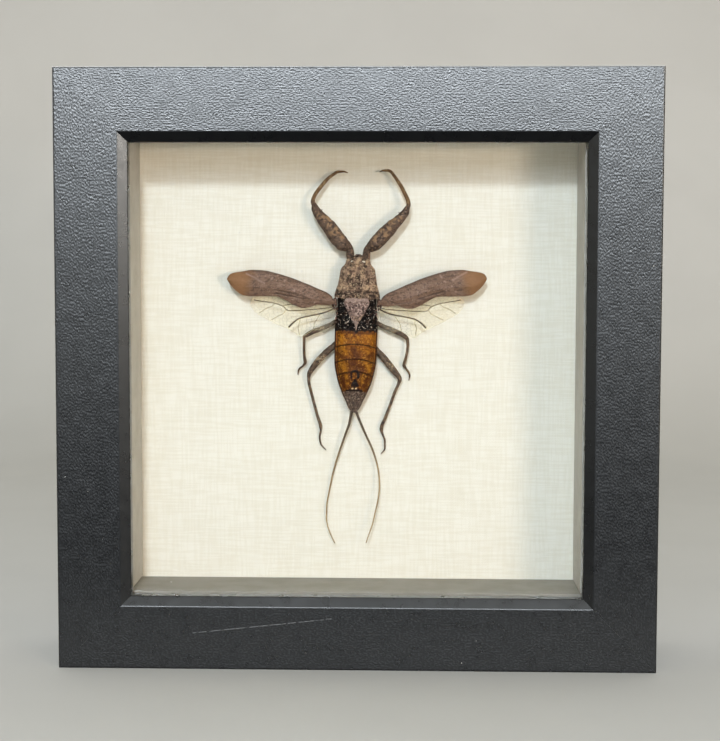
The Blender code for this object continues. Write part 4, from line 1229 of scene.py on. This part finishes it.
@dataclass
class Forewings:
    """The leathery front pair. Sizes in mm."""

    blade: WingBlade = field(default_factory=lambda: WingBlade((
        (5.5, -0.4, -1.6), (6.3, -0.3, -1.7), (6.6, 0.4, -1.8), (8.0, 1.5, -1.9), (10.3, 2.5, -1.7),
        (12.7, 3.6, -2.4), (14.2, 4.2, -2.55), (16.5, 5.15, -1.8), (19.0, 6.0, -0.4), (21.5, 6.75, 0.6),
        (24.5, 7.4, 0.6), (27.7, 7.55, 0.6), (30.0, 7.2, 0.9), (31.8, 6.95, 2.1), (33.1, 6.6, 3.4),
        (33.9, 5.9, 4.6), (34.1, 5.4, 5.0)), 5.0, 0.13, 0.6))
    ribs: tuple[Path, ...] = (
        ((6.6, -0.2), (12.0, 1.6), (18.0, 4.0), (24.0, 5.6), (30.0, 5.9)),
        ((6.6, -0.8), (12.0, -0.2), (18.0, 1.8), (24.0, 2.9), (29.5, 3.1)),
        ((8.0, -1.2), (13.0, -1.4), (17.0, -0.6), (20.5, 0.8)),
    )
    rib_height: float = 0.06
    fold_depth: float = 0.12
    buckle: float = 0.05
    folds: tuple[tuple[Path, ...], tuple[Path, ...]] = (
        (((14.0, 0.6), (21.6, 2.3)), ((14.0, -0.2), (21.6, 1.4)), ((23.0, 5.0), (24.3, 4.1), (29.0, 6.7))),
        (((8.6, -0.4), (10.3, -1.2), (12.4, -1.1), (14.6, -0.7)), ((16.0, 0.0), (23.0, 2.0))),
    )
    flecks: tuple[tuple[Path, ...], tuple[Path, ...]] = (
        (((24.3, 4.1), (26.7, 5.5), (29.0, 6.6)), ((22.1, 5.5), (22.5, 5.0)), ((20.7, 6.1), (20.8, 6.0)),
         ((18.9, 4.7), (19.0, 4.6)), ((16.4, 2.2), (16.5, 2.1))),
        (((25.1, 4.9), (28.9, 7.0)), ((21.9, 6.2), (22.3, 5.6)), ((23.0, 4.6), (23.3, 4.4)),
         ((24.9, 3.4), (25.0, 3.2)), ((25.9, 1.9), (26.0, 1.8))),
    )

    def build(self) -> None:
        """Build both wings, each with its own folds and flecks."""
        u, v, share = self.blade.surface()
        relief = sum(self.rib_height * strokes(u, v, ((rib, 0.08, 0.35),)) for rib in self.ribs)
        thin_edge = ramp(share, 0.0, 0.1) * ramp(share, 1.0, 0.92)
        ragged = 0.5 * rumple(u, v, 1.8, 6.6)
        for (side, label), folds, flecks in zip(SIDES, self.folds, self.flecks):
            fold = strokes(u, v, [(path, 0.06, 0.22) for path in folds])
            uneven = relief - self.fold_depth * fold + self.buckle * rumple(u, v, 1.6, 3.3 + side, 3)
            masks = {
                "tip": ramp(u + ragged + 0.25 * (v - 4), 26.8, 30.0),
                # the dark mask is the front edge's real darker colour plus painted shade in the fold grooves
                "dark": np.maximum(0.7 * ramp(share, 0.16, 0.0) * ramp(u, 32.0, 28.0), 0.6 * fold),
                "pale": strokes(u, v, [(path, 0.07, 0.28) for path in flecks]),
            }
            place_piece(f"leather_wing_{label}",
                        self.blade.mesh(f"leather_wing_{label}", side, uneven * thin_edge, masks),
                        LEATHERY_WING, [f"forewing_{label}"], AXES.wing(side))


@dataclass
class Hindwings:
    """The see-through hind pair with its dark main veins. Sizes in mm."""

    blade: WingBlade = field(default_factory=lambda: WingBlade((
        (5.8, -2.4, -4.4), (6.3, -2.2, -6.4), (7.3, -1.8, -8.2), (8.8, -1.4, -9.3), (10.0, -1.2, -8.6),
        (11.2, -1.3, -8.4), (12.5, -1.6, -9.0), (13.8, -1.7, -9.8), (15.0, -1.5, -10.3), (16.4, -0.9, -9.3),
        (18.2, -0.2, -8.2), (20.2, 0.3, -7.3), (22.2, 0.9, -6.35), (24.3, 0.9, -5.2), (26.3, 0.6, -4.1),
        (27.5, 0.2, -3.0), (28.2, -0.4, -1.9)), 4.0, 0.03, 0.25))
    veins: tuple[tuple[Path, float], ...] = (
        (((6.0, -2.4), (7.2, -2.55), (9.9, -2.85), (12.5, -3.05), (15.2, -3.25), (17.8, -3.28), (18.7, -3.0),
          (19.25, -2.35), (19.9, -1.95), (21.7, -1.3), (23.6, -0.95), (26.0, -0.6), (27.2, -0.35)), 0.12),
        (((19.6, -1.95), (18.8, -1.8), (17.3, -1.6), (14.0, -1.9)), 0.08),
        (((6.0, -2.7), (7.7, -3.5), (9.8, -4.15), (12.0, -4.55), (13.5, -4.9), (15.1, -5.3), (16.5, -6.1),
          (17.5, -7.0), (18.1, -7.6)), 0.2),
        (((18.7, -3.0), (19.4, -3.9), (20.6, -4.6), (22.6, -5.6)), 0.04),
        (((15.1, -5.3), (15.2, -6.4), (15.6, -7.6), (15.4, -9.6)), 0.04),
        (((9.8, -4.15), (10.4, -5.2), (11.3, -6.6), (11.6, -8.2)), 0.035),
        (((21.7, -1.3), (22.6, -2.1), (24.3, -2.8), (25.9, -3.9)), 0.04),
    )
    crumple: float = 0.12
    solid_by_vein: float = 0.6
    solid_far_out: float = 0.1
    solid_in_fold: float = 0.16
    solid_at_rim: float = 0.35

    def build(self) -> None:
        """Build both films and their veins."""
        u, v, share = self.blade.surface()
        relief = self.crumple * rumple(u, v, 2.6, 4.4) * ramp(share, 0.0, 0.12)
        fold = ramp(u, 10.8, 8.4) * ramp(v, -3.4, -4.8)
        masks = {
            "amber": np.maximum(ramp(u + 0.6 * v, 25.0, 28.0), 0.5 * ramp(share, 0.1, 0.0)),
            "fold": fold,
            "solid": np.maximum.reduce([
                self.solid_by_vein * strokes(u, v, [(path, half, 0.1) for path, half in self.veins]),
                self.solid_far_out * np.maximum(ramp(u, 12.5, 15.0), ramp(v, -6.0, -4.8)),
                self.solid_in_fold * fold,
                self.solid_at_rim * ramp(share, 0.975, 1.0),
            ]),
        }
        height = self.blade.height + self.blade.camber
        for side, label in SIDES:
            place_piece(f"wing_film_{label}", self.blade.mesh(f"wing_film_{label}", side, relief, masks), FILM,
                        [f"hindwing_{label}"], AXES.wing(side))
            rods = []
            for path, half in self.veins:
                stations = tuple((out, place, height, half) for out, place in path)
                rods.append(Limb(stations, side, sides=8, step=0.3).mesh("vein"))
            place_piece(f"wing_veins_{label}", joined(f"wing_veins_{label}", rods), WING_VEIN,
                        matrix=AXES.wing(side))


@dataclass
class Limb:
    """A leg, tube or vein that follows stations: distance out, place along, height and half-width, in mm."""

    stations: tuple[Station, ...]
    side: int
    flatness: float = 1.0
    least: float = 0.3
    sides: int = 18
    step: float = 0.22
    rough: float = 0.0
    lump: float = 0.8

    def path(self) -> tuple[np.ndarray, np.ndarray]:
        """Run a smooth line through the stations.

        Returns:
            The line's points with their half-widths, and their distance along it.
        """
        knots = np.array(self.stations, float)
        gaps = np.maximum(np.linalg.norm(np.diff(knots[:, :3], axis=0), axis=1), TINY)
        reach = np.concatenate([[0.0], np.cumsum(gaps)])
        at = np.linspace(0, reach[-1], max(int(reach[-1] / self.step), 3))
        line = np.stack([along(tuple(zip(reach, column)), at) for column in knots.T], axis=-1)
        return line, at

    def mesh(self, name: str, masks: Paint | None = None) -> bpy.types.Mesh:
        """Build the limb.

        Args:
            name: The mesh's name.
            masks: Gives named values from each point's distance out, place along the body, and share of the
                limb's length.

        Returns:
            The closed mesh.
        """
        line, at = self.path()
        heading = np.gradient(line[:, :2], at, axis=0)
        heading /= np.maximum(np.linalg.norm(heading, axis=1, keepdims=True), TINY)
        turn = np.linspace(0, 2 * math.pi, self.sides, endpoint=False)[None, :]
        half = line[:, 3:4]
        around = np.broadcast_arrays(at[:, None], 2 * np.cos(turn))
        lumps = 1 + self.rough * rumple(*around, self.lump, self.side * 3.1, 3)
        across = half * lumps * np.cos(turn)
        deep = np.maximum(half * self.flatness, np.minimum(half, self.least)) * lumps * np.sin(turn)
        u = line[:, 0:1] + across * heading[:, 1:2]
        v = line[:, 1:2] - across * heading[:, 0:1]
        grid = np.stack([self.side * u, -(line[:, 2:3] + deep), v], axis=-1)
        share = np.broadcast_to((at / at[-1])[:, None], u.shape)
        return skin(name, grid, masks(u, v, share) if masks else None)


@dataclass
class GraspingLegs:
    """The front pair: stout blotched thighs and slender hooked shins. Sizes in mm."""

    left: tuple[Station, ...] = (
        (2.2, 9.6, 3.3, 0.75), (2.2, 11.6, 3.6, 1.05), (2.35, 13.0, 4.0, 1.0), (3.1, 13.55, 4.5, 1.45),
        (3.9, 14.0, 4.8, 1.8), (5.1, 15.1, 4.8, 1.98), (7.5, 18.15, 4.8, 1.88), (8.9, 19.7, 4.9, 1.7),
        (10.1, 21.1, 5.0, 1.43), (11.1, 22.3, 4.9, 1.2), (11.7, 23.4, 4.8, 1.0), (12.0, 24.2, 4.6, 0.7),
        (12.4, 25.1, 4.3, 0.55), (12.1, 26.3, 4.0, 0.52), (11.3, 27.8, 3.6, 0.52), (10.0, 29.6, 3.2, 0.5),
        (8.5, 31.4, 2.9, 0.45), (7.2, 32.4, 2.8, 0.4), (6.0, 33.1, 2.8, 0.36), (4.6, 33.2, 2.7, 0.26),
        (3.4, 32.9, 2.5, 0.1))
    right: tuple[Station, ...] = (
        (2.1, 9.6, 3.3, 0.75), (2.1, 11.4, 3.6, 1.05), (2.3, 12.9, 4.0, 0.95), (3.2, 13.6, 4.5, 1.4),
        (4.2, 14.4, 4.8, 1.8), (5.5, 15.8, 4.8, 1.9), (7.1, 17.6, 4.8, 1.87), (8.6, 19.2, 4.9, 1.67),
        (9.9, 20.5, 5.0, 1.4), (11.2, 21.9, 4.9, 1.15), (12.05, 23.1, 4.8, 1.0), (12.4, 24.0, 4.7, 0.7),
        (12.75, 24.9, 4.6, 0.55), (12.6, 25.9, 4.5, 0.54), (11.9, 27.4, 4.3, 0.52), (10.8, 29.5, 3.9, 0.5),
        (9.8, 31.0, 3.6, 0.46), (8.7, 32.5, 3.3, 0.42), (7.8, 33.5, 3.1, 0.4), (7.1, 33.8, 3.0, 0.38),
        (5.8, 33.75, 2.9, 0.28), (4.9, 33.4, 2.8, 0.1))
    flatness: float = 0.62
    teeth: tuple[tuple[float, float], ...] = ((10.0, 22.85), (10.4, 22.7))
    tooth_shape: tuple[Station, ...] = (
        (0.7, -0.4, 5.1, 0.42), (0.2, -0.1, 5.1, 0.26), (-0.25, 0.25, 5.1, 0.05),
    )
    blotches: tuple[Path, ...] = (
        ((10.6, 21.4), (10.0, 20.9)), ((8.3, 20.9), (7.7, 20.1), (7.9, 18.6)), ((6.1, 18.1), (5.6, 17.2)),
        ((4.5, 16.3), (4.2, 15.6)), ((6.6, 16.2), (7.4, 17.2)), ((9.3, 20.9), (8.9, 20.3)),
    )

    def masks(self, u: np.ndarray, v: np.ndarray, share: np.ndarray) -> dict[str, np.ndarray]:
        """Tan blotches on the thigh, and the browner shin."""
        blotches = strokes(u, v, [(path, 0.35, 0.5) for path in self.blotches])
        return {"pale": blotches, "shin": ramp(v, 24.6, 26.0)}

    def build(self) -> None:
        """Build both legs, each with the small tooth inside its knee."""
        for (side, label), stations, tooth in zip(SIDES, (self.left, self.right), self.teeth):
            leg = Limb(stations, side, self.flatness, rough=0.07, sides=28).mesh("leg", self.masks)
            spike = tuple((tooth[0] + out, tooth[1] + place, height, half)
                          for out, place, height, half in self.tooth_shape)
            whole = joined("grasping_leg", [leg, Limb(spike, side, step=0.1).mesh("tooth", self.masks)])
            place_piece(f"grasping_leg_{label}", whole, GRASPING_CHITIN, [f"foreleg_{label}"])


@dataclass
class WalkingLegs:
    """The middle and hind pairs. Sizes in mm."""

    legs: tuple[tuple[str, int, tuple[Station, ...]], ...] = (
        ("midleg_left", LEFT, (
            (5.2, -6.0, 2.3, 0.5), (7.0, -7.2, 2.5, 0.6), (9.1, -8.2, 2.6, 0.65), (11.5, -9.2, 2.6, 0.65),
            (13.1, -10.1, 2.6, 0.58), (13.8, -10.7, 2.4, 0.42), (13.8, -12.9, 2.2, 0.34),
            (13.7, -15.5, 1.8, 0.36), (13.4, -17.5, 1.5, 0.46), (13.9, -18.3, 1.3, 0.26),
            (15.1, -19.6, 1.1, 0.24), (15.3, -20.9, 0.9, 0.1),
        )),
        ("midleg_right", RIGHT, (
            (5.2, -6.1, 2.3, 0.5), (7.0, -7.2, 2.5, 0.6), (8.4, -7.7, 2.6, 0.65), (10.8, -8.6, 2.6, 0.68),
            (12.8, -9.6, 2.6, 0.6), (13.6, -10.5, 2.4, 0.45), (13.75, -12.0, 2.2, 0.36),
            (13.4, -15.0, 1.8, 0.36), (12.9, -17.4, 1.5, 0.44), (13.5, -18.3, 1.3, 0.28),
            (14.5, -20.0, 1.1, 0.24), (14.3, -21.5, 0.9, 0.1),
        )),
        ("hindleg_left", LEFT, (
            (4.9, -11.6, 1.9, 0.7), (6.0, -12.9, 2.0, 0.78), (7.4, -14.2, 2.1, 0.85),
            (9.5, -16.4, 2.2, 0.88), (11.3, -18.8, 2.2, 0.75), (12.25, -20.7, 2.1, 0.55),
            (12.35, -21.9, 1.9, 0.4), (11.7, -24.8, 1.7, 0.38), (10.8, -28.0, 1.5, 0.38),
            (9.8, -31.5, 1.3, 0.4), (8.8, -34.6, 1.2, 0.46), (8.75, -35.5, 1.0, 0.28),
            (9.0, -37.2, 0.9, 0.26), (8.7, -39.0, 0.9, 0.22), (7.2, -40.8, 0.8, 0.1),
        )),
        ("hindleg_right", RIGHT, (
            (4.7, -12.6, 1.9, 0.7), (5.9, -14.0, 2.0, 0.8), (7.3, -15.4, 2.1, 0.88), (9.2, -17.6, 2.2, 0.9),
            (10.8, -19.5, 2.2, 0.78), (11.9, -21.2, 2.1, 0.55), (11.6, -22.3, 1.9, 0.4),
            (10.7, -24.6, 1.7, 0.38), (9.8, -27.4, 1.5, 0.38), (8.5, -31.2, 1.3, 0.4),
            (7.4, -34.7, 1.2, 0.46), (7.7, -35.8, 1.0, 0.28), (8.4, -37.7, 0.9, 0.26),
            (8.5, -39.8, 0.9, 0.22), (7.5, -41.4, 0.8, 0.1),
        )),
    )

    def masks(self, u: np.ndarray, v: np.ndarray, share: np.ndarray) -> dict[str, np.ndarray]:
        """The browner shin, and a pale patch on the thigh."""
        return {"shin": ramp(share, 0.42, 0.5), "pale": ramp(np.abs(share - 0.2), 0.06, 0.02)}

    def build(self) -> None:
        """Build the four legs."""
        for node, side, stations in self.legs:
            mesh = Limb(stations, side, rough=0.06).mesh("walking_" + node, self.masks)
            place_piece("walking_" + node, mesh, WALKING_CHITIN, [node])


@dataclass
class TailTubes:
    """The two long breathing tubes, which part at the tail. Sizes in mm."""

    tubes: tuple[tuple[Station, ...], ...] = (
        (
            (0.62, -30.1, 2.8, 0.42), (1.1, -33.2, 2.6, 0.34), (2.0, -36.0, 2.3, 0.3),
            (3.5, -40.7, 1.7, 0.27), (4.7, -45.0, 1.3, 0.24), (5.6, -49.3, 1.1, 0.22),
            (6.2, -53.0, 1.0, 0.2), (6.6, -56.0, 0.9, 0.19), (6.6, -58.8, 0.9, 0.18),
            (6.2, -61.2, 0.8, 0.17), (5.2, -63.8, 0.8, 0.16), (4.1, -65.9, 0.8, 0.13),
        ),
        (
            (0.6, -30.1, 2.8, 0.38), (1.8, -32.9, 2.6, 0.32), (3.4, -36.3, 2.4, 0.29),
            (5.1, -39.8, 2.2, 0.27), (6.3, -43.1, 2.1, 0.24), (7.1, -46.5, 2.2, 0.22),
            (7.4, -50.0, 2.4, 0.21), (7.1, -53.6, 2.8, 0.2), (6.5, -56.7, 3.2, 0.19),
            (6.0, -59.4, 3.5, 0.18), (5.2, -62.1, 3.8, 0.16), (4.3, -65.0, 4.0, 0.13),
        ),
    )

    def masks(self, u: np.ndarray, v: np.ndarray, share: np.ndarray) -> dict[str, np.ndarray]:
        """Dark towards the root."""
        return {"dark": ramp(share, 0.62, 0.0)}

    def build(self) -> None:
        """Build both tubes."""
        for (side, label), stations in zip(SIDES, self.tubes):
            mesh = Limb(stations, side, 0.85, sides=14, rough=0.03).mesh(f"tail_tube_{label}", self.masks)
            place_piece(f"tail_tube_{label}", mesh, TUBE_HORN, [f"siphon_{label}"])


# Light, floor and camera

class LampUse(Enum):
    """What a lamp is for: all light, light without a mirror image, or a mirror image alone."""

    ALL = "all"
    LIGHT = "light"
    SHINE = "shine"


@dataclass(frozen=True)
class Lamp:
    """A soft rectangular lamp aimed at the frame's middle. Angles in degrees, sizes and distance in metres."""

    name: str
    to_the_right: float
    above: float
    distance: float
    width: float
    height: float
    watts: float
    colour: tuple[float, float, float]
    use: LampUse = LampUse.ALL

    def build(self, target: Vector) -> None:
        """Hang the lamp.

        Args:
            target: The point it is aimed at.
        """
        turn, lift = math.radians(self.to_the_right), math.radians(self.above)
        away = Vector((math.sin(turn) * math.cos(lift), -math.cos(turn) * math.cos(lift), math.sin(lift)))
        data = bpy.data.lights.new(self.name, "AREA")
        data.shape = "RECTANGLE"
        data.size = self.width
        data.size_y = self.height
        data.energy = self.watts
        data.color = self.colour
        lamp = show(self.name, data)
        lamp.visible_glossy = self.use is not LampUse.LIGHT
        lamp.visible_diffuse = self.use is not LampUse.SHINE
        lamp.location = target + away * self.distance
        lamp.rotation_mode = "QUATERNION"
        lamp.rotation_quaternion = (-away).to_track_quat("-Z", "Y")


@dataclass
class Studio:
    """A pale paper sweep, soft lamps, even fill light and the camera. Sizes in metres."""

    target: tuple[float, float, float] = (0.0, 0.0, 0.0762)
    lamps: tuple[Lamp, ...] = (
        Lamp("high_lamp", -3.5, 23.6, 1.4, 0.11, 0.11, 11.2, (0.78, 0.89, 1.0), LampUse.LIGHT),
        Lamp("strip_lamp", -4.0, 16.0, 1.3, 0.9, 0.2, 3.3, (0.74, 0.82, 1.0)),
        Lamp("strip_shine", 0.0, 16.0, 1.3, 1.0, 0.2, 24.0, (0.88, 0.95, 1.0), LampUse.SHINE),
        Lamp("side_lamp", 31.5, 2.0, 1.4, 0.33, 0.12, 7.0, (1.0, 0.78, 0.61), LampUse.LIGHT),
        Lamp("side_shine", 36.0, 10.0, 1.4, 0.2, 0.2, 5.8, (1.0, 0.95, 0.88), LampUse.SHINE),
        Lamp("edge_shine_above", 0.0, 99.0, 0.9, 1.0, 0.45, 36.0, (0.92, 0.97, 1.0), LampUse.SHINE),
        Lamp("edge_shine_left", -100.0, 8.0, 0.9, 0.25, 0.7, 6.0, (0.95, 0.96, 1.0), LampUse.SHINE),
    )
    fill: str = "#fdf6da"
    fill_strength: float = 0.45
    sweep_half_width: float = 1.6
    sweep_front: float = -0.9
    sweep_bend: float = 0.35
    sweep_radius: float = 0.3
    sweep_top: float = 1.6
    bend_steps: int = 13
    flag_half_width: float = 0.2
    flag_top: float = 0.28
    flag_front: float = -0.8
    cloth_back: float = -0.095
    cloth_height: float = 0.0005
    camera_place: tuple[float, float, float] = (0.01239, -0.4181, 0.10575)
    yaw: float = 1.646
    pitch: float = 4.152
    roll: float = 0.118
    focal_pixels: float = 1596.5
    long_side_pixels: float = 741.0
    sensor: float = 36.0
    nearest_seen: float = 0.01

    def strip(self, name: str, outline: Path, half_width: float, finish: Finish) -> bpy.types.Object:
        """Lay a strip of paper or cloth along an outline.

        Args:
            name: The strip's name.
            outline: The depth and height of each bend, in metres.
            half_width: Half its width, in metres.
            finish: Its surface.

        Returns:
            The strip.
        """
        corners = [(x, y, z) for y, z in outline for x in (-half_width, half_width)]
        faces = [(n, n + 1, n + 3, n + 2) for n in range(0, len(corners) - 2, 2)]
        mesh = bpy.data.meshes.new(name)
        mesh.from_pydata(corners, [], faces)
        mesh.materials.append(FINISHED.get(finish))
        sheet = show(name, mesh)
        return sheet

    def sweep(self) -> None:
        """Lay the paper sweep: flat, then curved up behind the frame."""
        turns = np.linspace(0, math.pi / 2, self.bend_steps)
        y = [self.sweep_front, *(self.sweep_bend + self.sweep_radius * np.sin(turns)),
             self.sweep_bend + self.sweep_radius]
        z = [0.0, *(self.sweep_radius * (1 - np.cos(turns))), self.sweep_top]
        paper = self.strip("paper_sweep", tuple(zip(y, z)), self.sweep_half_width, SWEEP_PAPER)
        paper.data.shade_smooth()

    def flag(self) -> None:
        """Stand a black card in front and lay black cloth up to it, so the glass mirrors no bright room."""
        outline = ((self.flag_front, self.flag_top), (self.flag_front, self.cloth_height),
                   (self.cloth_back, self.cloth_height))
        card = self.strip("black_flag", outline, self.flag_half_width, FLAG_CLOTH)
        card.visible_camera = card.visible_diffuse = card.visible_shadow = False

    def camera(self) -> None:
        """Set the camera where the photograph was taken from."""
        yaw, pitch, roll = (math.radians(angle) for angle in (self.yaw, self.pitch, self.roll))
        level = Vector((-math.sin(yaw), math.cos(yaw), 0))
        forward = math.cos(pitch) * level - math.sin(pitch) * Vector((0, 0, 1))
        raised = math.cos(pitch) * Vector((0, 0, 1)) + math.sin(pitch) * level
        side = Vector((math.cos(yaw), math.sin(yaw), 0))
        right = math.cos(roll) * side + math.sin(roll) * raised
        up = math.cos(roll) * raised - math.sin(roll) * side
        data = bpy.data.cameras.new("portrait_camera")
        data.sensor_width = self.sensor
        data.lens = self.focal_pixels * self.sensor / self.long_side_pixels
        data.clip_start = self.nearest_seen
        camera = show("portrait_camera", data)
        turned = Matrix((right, up, -forward)).transposed().to_4x4()
        camera.matrix_world = Matrix.Translation(self.camera_place) @ turned
        bpy.context.scene.camera = camera

    def build(self) -> None:
        """Set the sweep, the lamps, the fill light and the camera."""
        self.sweep()
        self.flag()
        for lamp in self.lamps:
            lamp.build(Vector(self.target))
        world = bpy.data.worlds.new("even_fill")
        world.use_nodes = True
        background = world.node_tree.nodes["Background"]
        background.inputs["Color"].default_value = linear(self.fill)
        background.inputs["Strength"].default_value = self.fill_strength
        scene = bpy.context.scene
        scene.world = world
        scene.view_settings.view_transform = "Standard"
        self.camera()
        LOG.info("studio: %d lamps", len(self.lamps))


def main() -> None:
    """Build the part and the studio."""
    logging.basicConfig(level=logging.INFO, format="%(message)s")
    for assembly in (Studio(), ShadowBoxFrame(), BoxLining(), NeckShield(), Thorax(), Abdomen(), Forewings(),
                     Hindwings(), GraspingLegs(), WalkingLegs(), TailTubes()):
        assembly.build()


if __name__ == "__main__":
    main()
